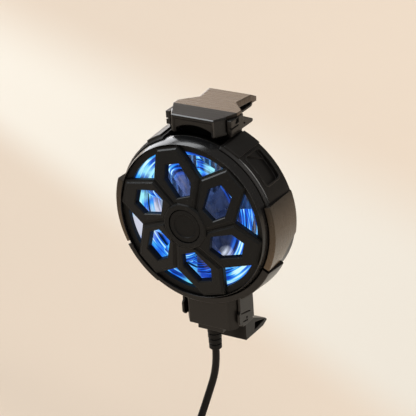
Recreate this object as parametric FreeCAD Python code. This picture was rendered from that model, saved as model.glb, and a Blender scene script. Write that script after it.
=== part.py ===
"""Phone cooling fan: a round fan cooler that clamps on the back of a phone.

Frame: origin at the centre of the cold face that touches the phone. +X is to the
right seen from the front, +Y runs from the fan towards the phone, +Z runs up along
the clamp. All lengths are in millimetres. A depth is counted from the rim plane of
the grille towards the phone, so depth 0 is the front of the grille's rim. Values
that end in _D are depths, and values that end in _A are angles about the fan axis.
"""
import FreeCAD
import Part
import math
import os

V = FreeCAD.Vector
ORIGIN = V(0, 0, 0)
AXIS_X = V(1, 0, 0)
AXIS_Y = V(0, 1, 0)
AXIS_Z = V(0, 0, 1)

# Clearances and fits
FIT = 0.15
SEAT = 0.3
RUN = 0.04
SLIDE = 0.25
GLUE = 0.05

# Housing: a wall that flares a little towards the back
BODY_R = 31.3
BODY_FLARE = 0.7
BODY_WALL = 1.6
BODY_FRONT_D = 4.0
FRONT_BEVEL = 1.0
REAR_D = 19.0
REAR_T = 1.4
REAR_CHAMFER = 0.3
PLATE_PROUD = 2.3
BODY_DEPTH = REAR_D + PLATE_PROUD
BACK_R = BODY_R + BODY_FLARE
INNER_R = BODY_R - BODY_WALL

# Bezel ring
BEZEL_STEP = 0.85
BEZEL_W = 1.35
BEZEL_DEPTH = 5.6
BEZEL_ROUND = 0.6
BEZEL_R = BODY_R - BEZEL_STEP
BEZEL_IN_R = BEZEL_R - BEZEL_W

# Grille
GRILLE_T = 2.6
GRILLE_FACE_T = 0.8
GRILLE_SLOPE = 9.4
PETALS = 6
PETAL_ANGLE = 45.0
PETAL_GAP = 0.5
PETAL_END_R = BEZEL_IN_R - PETAL_GAP
PETAL_END_HALF = 4.7
PETAL_END_SHIFT = 0.4
FORK_R = 19.7
FORK_SWIRL = 3.5
ROOT_R = 8.4
ROOT_SWIRL = 16.6
HOLE_INSET = 6.2
HOLE_R = PETAL_END_R - HOLE_INSET
HOLE_POINTS = [(HOLE_R, 2.2), (17.5, 3.9), (10.4, 0.1), (10.8, -5.4), (15.3, -7.0), (HOLE_R, -3.5)]
GROOVE_HALF = 0.35
LEDGE_W = 0.4
LEDGE_H = 0.3
BEVEL = 0.55
MOUTH_BEVEL = 0.35
RIM_BAND_W = 2.5
RIM_BAND_D = 1.5
RIM_BAND_T = 1.7
RIM_BAND_R = BEZEL_IN_R - RIM_BAND_W
HUB_R = 8.8
HUB_RISE = 0.5
HUB_SIDES = 12
HUB_BEVEL = 0.5
CAP_R = 6.3
CAP_T = 1.0
CAP_SINK = 0.2
CAP_DISH_R = 4.5
CAP_DISH = 0.3

# Recessed windows, raised panels, skirt and side grips, as angles seen from the front
WINDOW_A = (29.5, 52.0)
WINDOW_D = (8.0, 16.2)
WINDOW_CORNER = 1.2
WINDOW_FLOOR = 0.8
FRAME_W = 0.6
FRAME_RISE = 0.25
VENT_W = 0.7
GUSSET = (6.4, 4.2)
PANEL_A = (54.0, 66.0)
PANEL_RISE = 0.8
SKIRT_A = (28.0, 58.0)
SKIRT_D = (2.6, 13.0)
SKIRT_RISE = 1.9
BAND_RISE = 1.5
EDGE = 0.3
GRIP_A = (-26.0, 18.5)
GRIP_D = 2.6
GRIP_FRONT_RISE = 1.5
GRIP_REAR_RISE = 0.4
GRIP_CUT = [(-9.0, 19.5), (-17.0, 14.9), (-27.0, 12.0)]

# Fork of the clamp, behind the heat sink
FORK_T = 1.4
SINK_GAP = 0.5
PLATE_GAP = 0.4
FORK_D = REAR_D - REAR_T - FORK_T - SEAT

# Cold side, from the fork forwards
SINK_R_GAP = 1.1
FIN_H = 2.2
FIN_T = 0.8
FIN_PITCH = 2.4
SINK_BASE_T = 1.3
SINK_BACK_D = FORK_D - SINK_GAP
SINK_D = SINK_BACK_D - SINK_BASE_T - FIN_H
COLD_FRONT_D = FORK_D + FORK_T + PLATE_GAP
COLD_MARGIN = 14.3
COLD_SIZE = 2 * (BODY_R - COLD_MARGIN)
COLD_CORNER = 3.0
CERAMIC_T = 0.6
CORE_INSET = 0.8
PAD_W = 3.0
PAD_T = 1.9
PAD_OUT_R = INNER_R - 0.7

# Fan
FAN_D = 4.2
FRAME_T = 1.3
FRAME_D = SINK_D - SEAT - FRAME_T
FAN_LEN = FRAME_D - SEAT - FAN_D
FAN_HUB_R = 8.0
FAN_BLADES = 9
BLADE_T = 0.9
BLADE_ROOT = (6.2, 52.0)
BLADE_TIP = (11.5, 63.0)
HUB_WALL = 0.9
HUB_ROUND = 0.8
SHAFT_R = 1.0
BEARING_R = 2.4
BEARING_WALL = 0.8
BEARING_STEP = 1.0
STATOR_R = 5.9
STATOR_POLES = 6
POLE_SWEEP = 22.0
POLE_W = 1.8
MAGNET_T = 0.8
SPOKES = 4
SPOKE_W = 2.2
TIP_GAP = 0.8

# Light
LIGHT_D = 3.6
LIGHT_STEPS = 4
LIGHT_W = 5.7
LIGHT_EDGE = 0.6
LIGHT_BASE = 1.2
LIGHT_OUT_R = BEZEL_IN_R - 0.8
LED_BOARD_T = 0.8
LED_COUNT = 12
LED_SIZE = 2.0
LED_H = 0.7
LED_R = LIGHT_OUT_R - 1.9
LIGHT_LEN = FRAME_D - 2 * SEAT - LED_BOARD_T - LED_H - LIGHT_D
DUCT_R = LIGHT_OUT_R - LIGHT_W
FAN_R = DUCT_R - TIP_GAP
SINK_R = DUCT_R - SINK_R_GAP

# Clamp: notch in the housing and the head that slides above it
NOTCH_HALF = 11.6
NOTCH_DROP = 4.9
NOTCH_Z = BODY_R - NOTCH_DROP
NOTCH_FLOOR_T = 1.4
NOTCH_WALL = 0.8
FLOOR_Z = NOTCH_Z - NOTCH_FLOOR_T
TRAVEL = 12.0
HEAD_D = 6.2
HEAD_HALF = 8.5
HEAD_SHOULDER = 11.0
HEAD_GAP = 4.5
HEAD_H = 6.0
HEAD_WALL = 1.2
HEAD_Z = (NOTCH_Z + HEAD_GAP, NOTCH_Z + HEAD_GAP + HEAD_H)
ARCH_HALF = 7.2
ARCH_FOOT = 1.7
ARCH_RISE = 1.7
PANEL_INSET = 0.7
PANEL_SINK = 0.35
EAR_HALF = 13.3
EAR_FRONT_D = 10.1
EAR_BACK_GAP = 0.7
EAR_DROP = 0.9
EAR_TOP_GAP = 0.5
EAR_D = (EAR_FRONT_D, REAR_D - EAR_BACK_GAP)
EAR_Z = (HEAD_Z[0] - EAR_DROP, HEAD_Z[1] - EAR_TOP_GAP)
EAR_STEP_H = 1.5
EAR_STEP = 0.8
CATCH_W = 2.6
CATCH_H = 1.8
CATCH_DROP = 0.2
EAR_LINE = 0.5
EAR_LINE_UP = 1.8
EAR_LINE_GAP = 3.4
GROOVE_W = 1.3
HEAD_SHOULDER_BACK = 0.5
HEAD_SHOULDER_D = EAR_FRONT_D + HEAD_SHOULDER_BACK
HEAD_BACK_D = EAR_FRONT_D + GROOVE_W
PLATE_STEP = 0.4
PLATE_CROWN = 0.4
PLATE_FALL = 0.3
PLATE_FRONT_Z = HEAD_Z[1] + PLATE_STEP
PLATE_CREST_Z = PLATE_FRONT_Z + PLATE_CROWN
PLATE_REAR_Z = PLATE_CREST_Z - PLATE_FALL
PLATE_CREST_BACK = 4.0
PLATE_SIDE_BACK = 1.1
PLATE_NECK_OUT = 4.7
PLATE_BEND_OUT = 13.3
PLATE_END_OUT = 16.7
PLATE_CREST_D = REAR_D - PLATE_CREST_BACK
PLATE_SIDE_D = REAR_D - PLATE_SIDE_BACK
PLATE_NECK_D = REAR_D + PLATE_NECK_OUT
PLATE_REAR_D = REAR_D + PLATE_BEND_OUT
PLATE_END_D = REAR_D + PLATE_END_OUT
PLATE_CREST_HALF = 13.0
PLATE_NECK_HALF = 7.5
PLATE_REAR_HALF = 8.6
PLATE_T = 2.6
LIP_DROP = 3.5
LIP_T = 1.8
LIP_W = 3.0
FINGER_HALF = 7.9
FINGER_T = 0.8
FINGER_LIFT = 1.7
FINGER_OUT = 14.8
FINGER_Z = HEAD_Z[0] + FINGER_LIFT
FINGER_TIP_D = REAR_D + FINGER_OUT
FINGER_TIP = 0.5
STRAP_HALF = 8.3
STRAP_T = 2.0
STRAP_D = (REAR_D + SEAT, REAR_D + SEAT + STRAP_T)
TOP_JAW_H = 5.2
TOP_JAW_Z = FINGER_Z - SEAT - TOP_JAW_H
TOP_JAW_FLAT = 3.6
TOP_JAW_OUT = 13.9
TOP_JAW_TIP_D = REAR_D + TOP_JAW_OUT
JAW_WALL = 1.3
JAW_POCKET = 3.2

# Fork's legs, springs and posts
BAR_H = 2.3
BAR_Z = FLOOR_Z - SEAT - TRAVEL - BAR_H
PELTIER = 2 * (BAR_Z - PLATE_GAP)
FORK_OUT = math.sqrt((INNER_R - SEAT) ** 2 - (FLOOR_Z - SEAT) ** 2)
LEG_W = 3.8
NECK_HALF = 10.9
NECK_IN = 2.8
GUIDE_T = 1.2
GUIDE_TOP = 14.0
SPRING_X = FORK_OUT - LEG_W / 2
SPRING_R = 0.8
SPRING_BORE_R = 0.45
SPRING_L = 12.0
POST_R = 0.8
POST_UP = 9.3
POST_Z = POST_UP - BODY_R
FORK_END_Z = POST_Z + SPRING_L
EYE_R = 0.6

# Cable block under the body
BLOCK_D = 8.0
BLOCK_HALF = 8.5
BLOCK_SHOULDER = 11.0
BLOCK_SHOULDER_D = 11.2
BLOCK_BACK_D = 12.2
BLOCK_H = 14.1
BLOCK_Z = -BODY_R - BLOCK_H
BLOCK_LAP = 2.7
BLOCK_TOP_Z = BLOCK_LAP - BODY_R
BLOCK_WALL = 1.3
BLOCK_ROUND = 0.9
PLINTH_HALF = 5.2
PLINTH_BACK = 0.4
PLINTH_L = 5.4
PLINTH_D = (BLOCK_D + PLINTH_BACK, BLOCK_D + PLINTH_BACK + PLINTH_L)
PLINTH_H = 1.8
LOW_EAR_HALF = 12.2
LOW_EAR_LIFT = 1.7
LOW_EAR_LAP = 1.7
LOW_EAR_D = (EAR_FRONT_D, STRAP_D[0])
LOW_EAR_Z = (BLOCK_Z + LOW_EAR_LIFT, LOW_EAR_LAP - BODY_R)
LUG_OUT = 0.9
LUG_LOW = 2.8
LUG_H = 3.6
LUG_D = EAR_FRONT_D - LUG_OUT
LUG_Z = (BLOCK_Z + LUG_LOW, BLOCK_Z + LUG_LOW + LUG_H)
EAR_HOLE_R = 0.5
LOW_JAW_DROP = 9.6
LOW_JAW_Z = BLOCK_Z - LOW_JAW_DROP
LOW_JAW_H = 8.4
LOW_JAW_OUT = 15.5
LOW_JAW_EDGE = 2.8
LOW_JAW_POCKET_GAP = 2.0
LOW_JAW_TIP_D = REAR_D + LOW_JAW_OUT
BOARD = (11.0, 1.0, 8.0)

# Screws
SCREW_R = 1.4
SCREW_HEAD_H = 0.9
SCREW_SINK = 0.1
CROSS_W = 0.45
CROSS_H = 0.45
SCREW_RING_GAP = 5.1
SCREW_RING_R = INNER_R - SCREW_RING_GAP
SCREW_RING_ANGLES = (35.0, 145.0, 215.0, 325.0)

# Strain relief and cable; the route's points are offsets from the relief's end
CABLE_R = 1.4
RELIEF_R = 2.6
RELIEF_END_R = 2.3
RELIEF_D = 11.0
RELIEF_L = 8.8
RELIEF_RIBS = 4
RIB_GAP = 0.55
RIB_DEEP = 0.5
CABLE_ROUTE = [
    (0.0, 0.0, 0.0), (0.0, 0.0, -7.7), (-2.8, -2.9, -19.0), (-6.5, -9.6, -35.6),
    (-2.3, -9.8, -45.9), (6.0, -6.5, -52.4), (15.5, -1.0, -52.4),
]

# Coil, tie and plug
COIL_OUT_R = 19.3
COIL_PITCH = 3.4
COIL_LAYERS = 4
LAYER_LOOPS = 2
CROSS_STEP = 0.125
CROSS_SWING = 0.3
PLUG_SIZE = (15.6, 8.0, 24.0)
PLUG_CORNER = 1.2
PLUG_TAPER = 5.0
PLUG_NECK_R = 3.6
PLUG_RIDGES = 4
RIDGE_PITCH = 2.2
RIDGE_W = 0.9
SHELL_SEAT = 6.0
PLUG_SHELL = (12.0, 4.5, 12.0)
SHELL_WALL = 0.4
LATCH = 2.4
CONTACTS = (-3.5, -1.2, 1.2, 3.5)
LEAD_RUN = 9.0
TIE_W = 6.0
TIE_T = 0.7
TIE_GAP = 0.1
TIE_ROUND = 1.3
TIE_TAIL = 7.5
TIE_ANGLE = 145.0


def depth(value):
    """Y of a plane that lies this far behind the rim plane of the grille."""
    return value - BODY_DEPTH


def wall_r(value):
    """Outer radius of the housing's flared wall at a depth."""
    return BODY_R + BODY_FLARE * (value - BODY_FRONT_D) / (REAR_D - BODY_FRONT_D)


def polar(radius, angle, y=0.0):
    """Point at an angle seen from the front, counted from +X towards +Z."""
    a = math.radians(angle)
    return V(radius * math.cos(a), y, radius * math.sin(a))


def turned(shape, angle):
    """Copy turned about the fan axis by an angle seen from the front."""
    copy = shape.copy()
    copy.rotate(ORIGIN, AXIS_Y, -angle)
    return copy


def mirrored(shape):
    """Copy on the other side of the middle plane."""
    return shape.mirror(ORIGIN, AXIS_X)


def closed(points):
    """Flat face through these corners."""
    return Part.Face(Part.makePolygon(list(points) + [points[0]]))


def slab_y(points, y0, y1):
    """Prism along Y over (x, z) corners."""
    return closed([V(x, y0, z) for x, z in points]).extrude(V(0, y1 - y0, 0))


def slab_x(points, x0, x1):
    """Prism along X over (depth, z) corners."""
    return closed([V(x0, depth(d), z) for d, z in points]).extrude(V(x1 - x0, 0, 0))


def slab_z(points, z0, z1):
    """Prism along Z over (x, depth) corners."""
    return closed([V(x, depth(d), z0) for x, d in points]).extrude(V(0, 0, z1 - z0))


def block(x0, x1, y0, y1, z0, z1):
    """Box between two corners."""
    return Part.makeBox(x1 - x0, y1 - y0, z1 - z0, V(x0, y0, z0))


def on_side(side, x0, x1):
    """Two distances from the middle plane as ordered X values on one side of it."""
    return sorted((side * x0, side * x1))


def disc(radius, y0, y1):
    """Cylinder about the fan axis."""
    return Part.makeCylinder(radius, y1 - y0, V(0, y0, 0), AXIS_Y)


def pin(radius, length, x, y, z):
    """Cylinder along Y from a point."""
    return Part.makeCylinder(radius, length, V(x, y, z), AXIS_Y)


def ring(r_in, r_out, y0, y1):
    """Tube about the fan axis."""
    return disc(r_out, y0, y1).cut(disc(r_in, y0 - 1, y1 + 1))


def spun(profile):
    """Solid of revolution about the fan axis from (radius, y) corners."""
    return closed([V(r, y, 0) for r, y in profile]).revolve(ORIGIN, AXIS_Y, 360)


def wedge(a0, a1):
    """Pie slice about the fan axis from angle a0 to a1, larger than the body."""
    steps = max(1, math.ceil((a1 - a0) / 60))
    corners = [(0.0, 0.0)]
    for i in range(steps + 1):
        p = polar(BACK_R * 1.6, a0 + (a1 - a0) * i / steps)
        corners.append((p.x, p.z))
    return slab_y(corners, -BODY_DEPTH - 5, 5)


def sector(r_in, r_out, a0, a1, y0, y1):
    """Part of a ring between two angles."""
    return ring(r_in, r_out, y0, y1).common(wedge(a0, a1))


def inset(points, gap):
    """Convex polygon with every side moved inwards by a gap."""
    area = sum(
        a[0] * b[1] - b[0] * a[1] for a, b in zip(points, points[1:] + points[:1])
    )
    turn = 1.0 if area > 0 else -1.0
    sides = []
    for a, b in zip(points, points[1:] + points[:1]):
        dx, dy = b[0] - a[0], b[1] - a[1]
        length = math.hypot(dx, dy)
        nx, ny = -dy / length * turn, dx / length * turn
        sides.append((nx, ny, nx * a[0] + ny * a[1] + gap))
    result = []
    for (a, b, c), (d, e, f) in zip(sides[-1:] + sides[:-1], sides):
        det = a * e - b * d
        result.append(((c * e - b * f) / det, (a * f - c * d) / det))
    return result


def frustum(low, high, y0, y1):
    """Straight-sided solid between two (x, z) polygons at y0 and y1."""
    wires = []
    for points, y in ((low, y0), (high, y1)):
        corners = [V(x, y, z) for x, z in points]
        wires.append(Part.makePolygon(corners + [corners[0]]))
    return Part.makeLoft(wires, True, True)


def fused(shapes):
    """One shape from several that touch."""
    result = shapes[0]
    for shape in shapes[1:]:
        result = result.fuse(shape)
    return result.removeSplitter()


def rounded_square(half, corner, y0, y1):
    """Square plate about the fan axis with rounded corners."""
    plate = block(-half, half, y0, y1, -half, half)
    edges = [e for e in plate.Edges if abs(e.Vertexes[0].Point.y - e.Vertexes[1].Point.y) > (y1 - y0) / 2]
    return plate.makeFillet(corner, edges)


def petal_outline():
    """Outline of one petal about +X, as (radius, sideways) corners."""
    half = 180.0 / PETALS
    fork_left = polar(FORK_R, half - FORK_SWIRL)
    root_left = polar(ROOT_R, half - ROOT_SWIRL)
    fork_right = polar(FORK_R, -half - FORK_SWIRL)
    root_right = polar(ROOT_R, -half - ROOT_SWIRL)
    return [
        (PETAL_END_R, PETAL_END_SHIFT - PETAL_END_HALF),
        (PETAL_END_R, PETAL_END_SHIFT + PETAL_END_HALF),
        (fork_left.x, fork_left.z),
        (root_left.x, root_left.z),
        (root_right.x, root_right.z),
        (fork_right.x, fork_right.z),
    ]


def petal():
    """One hexagonal petal frame with stepped and bevelled edges, lying on the cone."""
    stretch = 1 / math.cos(math.radians(GRILLE_SLOPE))
    outline = [(r * stretch, s) for r, s in petal_outline()]
    hole = [(r * stretch, s) for r, s in HOLE_POINTS]
    web = slab_y(outline, GRILLE_FACE_T, GRILLE_T)
    ledge = inset(outline, GROOVE_HALF)
    foot = inset(ledge, LEDGE_W)
    crown = inset(foot, BEVEL)
    step = GRILLE_FACE_T - LEDGE_H
    face = frustum(crown, foot, 0, step).fuse(slab_y(ledge, step, GRILLE_FACE_T))
    mouth = frustum(inset(hole, -MOUTH_BEVEL), hole, 0, MOUTH_BEVEL)
    throat = slab_y(hole, -1, GRILLE_T + 1)
    solid = web.fuse(face).cut(throat).cut(mouth)
    solid.rotate(ORIGIN, AXIS_Z, GRILLE_SLOPE)
    rise = PETAL_END_R * math.tan(math.radians(GRILLE_SLOPE))
    solid.translate(V(0, depth(0) - rise, 0))
    return solid


def hub_front():
    """Y of the hub's face, which stands a little in front of the petals."""
    rise = (PETAL_END_R - HUB_R) * math.tan(math.radians(GRILLE_SLOPE))
    return depth(0) - rise - HUB_RISE


def front_grille():
    """Six petals, the hub with its cap seat, and the rim band they stand on."""
    petals = [turned(petal(), PETAL_ANGLE + k * 360 / PETALS) for k in range(PETALS)]
    front = hub_front()
    sides = [polar(HUB_R, (k + 0.5) * 360 / HUB_SIDES) for k in range(HUB_SIDES)]
    corners = [(p.x, p.z) for p in sides]
    hub = slab_y(corners, front + HUB_BEVEL, front + HUB_RISE + GRILLE_T)
    hub = hub.fuse(frustum(inset(corners, HUB_BEVEL), corners, front, front + HUB_BEVEL))
    hub = hub.cut(disc(CAP_R + FIT, front - 1, front + CAP_T))
    band_r = BEZEL_IN_R - FIT
    band = ring(RIM_BAND_R, band_r, depth(RIM_BAND_D), depth(RIM_BAND_D + RIM_BAND_T))
    result = petals[0]
    for piece in petals[1:] + [band, hub]:
        result = result.fuse(piece)
    keep = disc(band_r, front - 1, 0)
    return result.common(keep).removeSplitter()


def hub_cap():
    """Bare round cap in the grille's hub, with a shallow dished face."""
    y0 = hub_front() + CAP_SINK
    y1 = hub_front() + CAP_T
    return spun([(0, y0 + CAP_DISH), (CAP_DISH_R - CAP_DISH, y0 + CAP_DISH), (CAP_DISH_R, y0),
                 (CAP_R - EDGE, y0), (CAP_R, y0 + EDGE), (CAP_R, y1), (0, y1)])


def bezel_ring():
    """Rounded ring round the grille, with the step that the rim band seats on."""
    y0 = depth(0.2)
    y1 = depth(BEZEL_DEPTH)
    seat = depth(RIM_BAND_D + RIM_BAND_T)
    crown = [(BEZEL_IN_R, y0)]
    for k in range(4):
        a = math.radians(30 * k)
        crown.append((BEZEL_R - BEZEL_ROUND * (1 - math.sin(a)), y0 + BEZEL_ROUND * (1 - math.cos(a))))
    inner = LIGHT_OUT_R + FIT
    return spun(crown + [(BEZEL_R, y1), (inner, y1), (inner, seat), (BEZEL_IN_R, seat)])


def notch():
    """Space that the clamp head slides in, cut from the top of the housing."""
    return block(-NOTCH_HALF, NOTCH_HALF, depth(BODY_FRONT_D) - 5, 5, NOTCH_Z, BACK_R + 10)


def below_floor(margin=0.0):
    """Space above the notch floor's underside, to cut from pieces inside the housing."""
    return block(-BACK_R, BACK_R, depth(BEZEL_DEPTH) - FIT, 1, FLOOR_Z - FIT - margin, BACK_R)


def raised_band(rise, d0, d1, a0, a1):
    """Stretch of the wall that stands proud, with bevelled front and rear edges."""
    low = BEZEL_R + GLUE
    r0 = wall_r(d0) + rise
    r1 = wall_r(d1) + rise
    band = spun([(low, depth(d0)), (r0 - EDGE, depth(d0)), (r0, depth(d0 + EDGE)),
                 (r1, depth(d1 - EDGE)), (r1 - EDGE, depth(d1)), (low, depth(d1))])
    return band.common(wedge(a0, a1))


def window_block(grow):
    """Rounded block that points outwards at the window's middle, larger by a margin."""
    low, high = WINDOW_A
    half = window_half() + grow
    body = block(INNER_R - 2, BACK_R + 4, depth(WINDOW_D[0] - grow), depth(WINDOW_D[1] + grow), -half, half)
    edges = [e for e in body.Edges if abs(e.Vertexes[0].Point.x - e.Vertexes[1].Point.x) > 1]
    return turned(body.makeFillet(WINDOW_CORNER + grow, edges), (low + high) / 2)


def window_half():
    """Half of the window's length along the wall."""
    return BODY_R * math.sin(math.radians((WINDOW_A[1] - WINDOW_A[0]) / 2))


def envelope(rise):
    """Solid body as large as the housing's wall, or larger by a rise."""
    return spun([(0, depth(BODY_FRONT_D)), (wall_r(BODY_FRONT_D) + rise, depth(BODY_FRONT_D)),
                 (BACK_R + rise, depth(REAR_D)), (0, depth(REAR_D))])


def housing_shell():
    """Round wall with recessed windows, raised panels, lower skirt and clamp notch."""
    front = depth(BODY_FRONT_D)
    step = depth(BEZEL_DEPTH)
    rear = depth(REAR_D)
    bevel_d = BODY_FRONT_D + FRONT_BEVEL
    seat_r = BEZEL_R + GLUE
    wall = spun([(seat_r, front), (seat_r + FIT, front), (wall_r(bevel_d), depth(bevel_d)),
                 (BACK_R, rear - REAR_CHAMFER), (BACK_R - REAR_CHAMFER, rear), (INNER_R, rear),
                 (INNER_R, step), (seat_r, step)])
    panel = raised_band(PANEL_RISE, bevel_d, REAR_D - REAR_CHAMFER, PANEL_A[0], PANEL_A[1])
    skirt = raised_band(SKIRT_RISE, SKIRT_D[0], SKIRT_D[1], -SKIRT_A[1], -SKIRT_A[0])
    band = raised_band(BAND_RISE, SKIRT_D[0], BLOCK_D - FIT, SKIRT_A[1] - 180, -SKIRT_A[1])
    frame = window_block(FRAME_W).common(envelope(FRAME_RISE)).cut(disc(INNER_R + EDGE, -BODY_DEPTH, 0))
    for piece in (panel, mirrored(panel), skirt, mirrored(skirt), band, frame, mirrored(frame)):
        wall = wall.fuse(piece)
    pocket = window_block(0).cut(disc(INNER_R + WINDOW_FLOOR, -BODY_DEPTH, 0))
    middle = (WINDOW_A[0] + WINDOW_A[1]) / 2
    half = window_half()
    vent = block(INNER_R - 2, BACK_R, depth(WINDOW_D[0] + EDGE), depth(WINDOW_D[0] + EDGE + VENT_W),
                 WINDOW_CORNER - half, half - WINDOW_CORNER)
    pocket = pocket.fuse(turned(vent, middle))
    side = wall.cut(pocket).cut(mirrored(pocket))
    gusset = slab_x([(WINDOW_D[1] + EDGE - GUSSET[0], half), (WINDOW_D[1] + EDGE, half),
                     (WINDOW_D[1] + EDGE, half - GUSSET[1])], INNER_R + EDGE, BODY_R - 2 * EDGE)
    gusset = turned(gusset, middle)
    side = side.fuse(gusset).fuse(mirrored(gusset)).cut(notch())
    reach = math.sqrt((BODY_R - EDGE) ** 2 - FLOOR_Z ** 2)
    floor = block(-reach, reach, step, depth(REAR_D - REAR_T), FLOOR_Z, NOTCH_Z)
    floor = floor.common(disc(BODY_R - EDGE, step - 1, 0))
    web = block(-reach, reach, step, step + NOTCH_WALL, FLOOR_Z, BODY_R).common(disc(BEZEL_R, step, 0))
    neck = NECK_HALF + SLIDE
    slot = block(-neck, neck, depth(FORK_D) - SLIDE, depth(FORK_D) + FORK_T + SLIDE, FLOOR_Z - 1, NOTCH_Z + 1)
    return side.fuse(floor).fuse(web).cut(slot).removeSplitter()


def side_grip():
    """Smooth raised panel on the right side, cut slanting at its lower rear edge."""
    lip_r = BEZEL_R + 2 * GLUE
    front_r = BODY_R + GRIP_FRONT_RISE
    rear_r = BACK_R + GRIP_REAR_RISE
    bevel_d = BODY_FRONT_D + FRONT_BEVEL
    end = REAR_D - REAR_CHAMFER
    panel = spun([(lip_r, depth(GRIP_D)), (front_r - EDGE, depth(GRIP_D)), (front_r, depth(GRIP_D + EDGE)),
                  (rear_r, depth(end)), (wall_r(end) + GLUE, depth(end)),
                  (wall_r(bevel_d) + GLUE, depth(bevel_d - GLUE)),
                  (lip_r + FIT, depth(BODY_FRONT_D - GLUE)), (lip_r, depth(BODY_FRONT_D - GLUE))])
    panel = panel.common(wedge(GRIP_A[0], GRIP_A[1]))
    edge = [(d, polar(BACK_R, a).z) for a, d in GRIP_CUT]
    corner = slab_x(edge + [(REAR_D + 5, edge[-1][1])], BODY_R / 2, BACK_R + 5)
    return panel.cut(corner).removeSplitter()


def rear_cover():
    """Flat back with the cold plate's opening, guides for the fork and spring posts."""
    y0 = depth(REAR_D - REAR_T)
    y1 = depth(REAR_D)
    cover = disc(INNER_R - FIT, y0, y1)
    cover = cover.cut(rounded_square(COLD_SIZE / 2 + FIT, COLD_CORNER + FIT, y0 - 1, y1 + 1))
    strap_slot = STRAP_HALF + SLIDE
    cover = cover.cut(block(-strap_slot, strap_slot, y0 - 1, y1 + 1, FLOOR_Z + 2 * BODY_WALL, BACK_R))
    for side in (-1, 1):
        low, high = on_side(side, FORK_OUT + SLIDE, COLD_SIZE / 2 + FIT + GUIDE_T)
        guide = block(low, high, depth(FORK_D), y0, FORK_END_Z - LEG_W / 2, GUIDE_TOP)
        post = pin(POST_R, FORK_T + SLIDE, side * SPRING_X, y0 - FORK_T - SLIDE, POST_Z)
        cover = cover.fuse(guide).fuse(post)
    for angle in SCREW_RING_ANGLES:
        p = polar(SCREW_RING_R, angle)
        cover = cover.cut(pin(SCREW_R + FIT, 2 * SCREW_HEAD_H, p.x, y1 - SCREW_HEAD_H, p.z))
    return cover.removeSplitter()


def rear_screws():
    """Screws in the rear cover, as a group of separate solids."""
    y1 = depth(REAR_D)
    arm = SCREW_R * 0.6
    half = CROSS_W / 2
    screws = []
    for angle in SCREW_RING_ANGLES:
        p = polar(SCREW_RING_R, angle)
        head = pin(SCREW_R, SCREW_HEAD_H - SCREW_SINK, p.x, y1 - SCREW_HEAD_H, p.z)
        low = y1 - SCREW_SINK - CROSS_H
        flat_slot = block(p.x - arm, p.x + arm, low, y1, p.z - half, p.z + half)
        tall_slot = block(p.x - half, p.x + half, low, y1, p.z - arm, p.z + arm)
        screws.append(head.cut(flat_slot).cut(tall_slot))
    return Part.makeCompound(screws)


def silicone_pad():
    """Soft ring on the back that keeps the cooler off the phone's glass."""
    y0 = depth(REAR_D)
    pad = ring(PAD_OUT_R - PAD_W, PAD_OUT_R, y0, y0 + PAD_T)
    clear = STRAP_HALF + 1.5
    return pad.cut(block(-clear, clear, y0 - 1, y0 + PAD_T + 1, -BODY_R, BODY_R))


def cold_plate():
    """Square aluminium plate that touches the phone."""
    return rounded_square(COLD_SIZE / 2, COLD_CORNER, depth(COLD_FRONT_D), 0)


def peltier_module():
    """Peltier module between the heat sink and the cold plate."""
    half = PELTIER / 2
    y0 = depth(SINK_BACK_D)
    y1 = depth(COLD_FRONT_D)
    inner = half - CORE_INSET
    hot = block(-half, half, y0, y0 + CERAMIC_T, -half, half)
    cold = block(-half, half, y1 - CERAMIC_T, y1, -half, half)
    core = block(-inner, inner, y0 + CERAMIC_T, y1 - CERAMIC_T, -inner, inner)
    return fused([hot, core, cold])


def heat_sink():
    """Round base with straight fins that face the fan."""
    y0 = depth(SINK_D)
    y1 = y0 + FIN_H
    count = int((SINK_R - 1) / FIN_PITCH)
    round_part = disc(SINK_R, y0, y1)
    result = disc(SINK_R, y1, depth(SINK_BACK_D))
    for k in range(-count, count + 1):
        x = k * FIN_PITCH
        fin = block(x - FIN_T / 2, x + FIN_T / 2, y0, y1, -SINK_R, SINK_R)
        result = result.fuse(fin.common(round_part))
    return result.removeSplitter()


def fan_frame():
    """Spider behind the fan: outer duct ring, spokes and the bearing tube."""
    y0 = depth(FRAME_D)
    y1 = depth(FRAME_D + FRAME_T)
    duct = ring(DUCT_R, INNER_R - FIT, y0, y1)
    plate = disc(FAN_HUB_R, y0, y1)
    tube = disc(BEARING_R + BEARING_WALL, depth(FAN_D + HUB_WALL + BEARING_STEP), y1)
    result = duct.fuse(plate).fuse(tube)
    for k in range(SPOKES):
        bar = block(FAN_HUB_R - 1, DUCT_R + 1, y0, y1, -SPOKE_W / 2, SPOKE_W / 2)
        result = result.fuse(turned(bar, (k + 0.5) * 360 / SPOKES))
    return result.cut(disc(BEARING_R, depth(0), y1 - HUB_WALL / 2)).cut(below_floor()).removeSplitter()


def sleeve_bearing():
    """Bush pressed in the bearing tube, with the shaft's running bore."""
    return ring(SHAFT_R + RUN, BEARING_R, depth(FAN_D + HUB_WALL + BEARING_STEP),
                depth(FRAME_D + FRAME_T) - HUB_WALL / 2)


def stator():
    """Ring core with poles round the bearing tube."""
    y0 = depth(FAN_D + HUB_WALL + BEARING_STEP) + FIT
    y1 = depth(FRAME_D)
    core_r = BEARING_R + BEARING_WALL
    result = ring(core_r, core_r + BEARING_WALL, y0, y1)
    limb_in = core_r + BEARING_WALL / 2
    for k in range(STATOR_POLES):
        limb = block(limb_in, STATOR_R - 0.6, y0 + 0.6, y1 - 0.6, -POLE_W / 2, POLE_W / 2)
        shoe = sector(STATOR_R - 0.9, STATOR_R, -POLE_SWEEP, POLE_SWEEP, y0, y1)
        result = result.fuse(turned(limb.fuse(shoe), k * 360 / STATOR_POLES))
    return result.removeSplitter()


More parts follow.
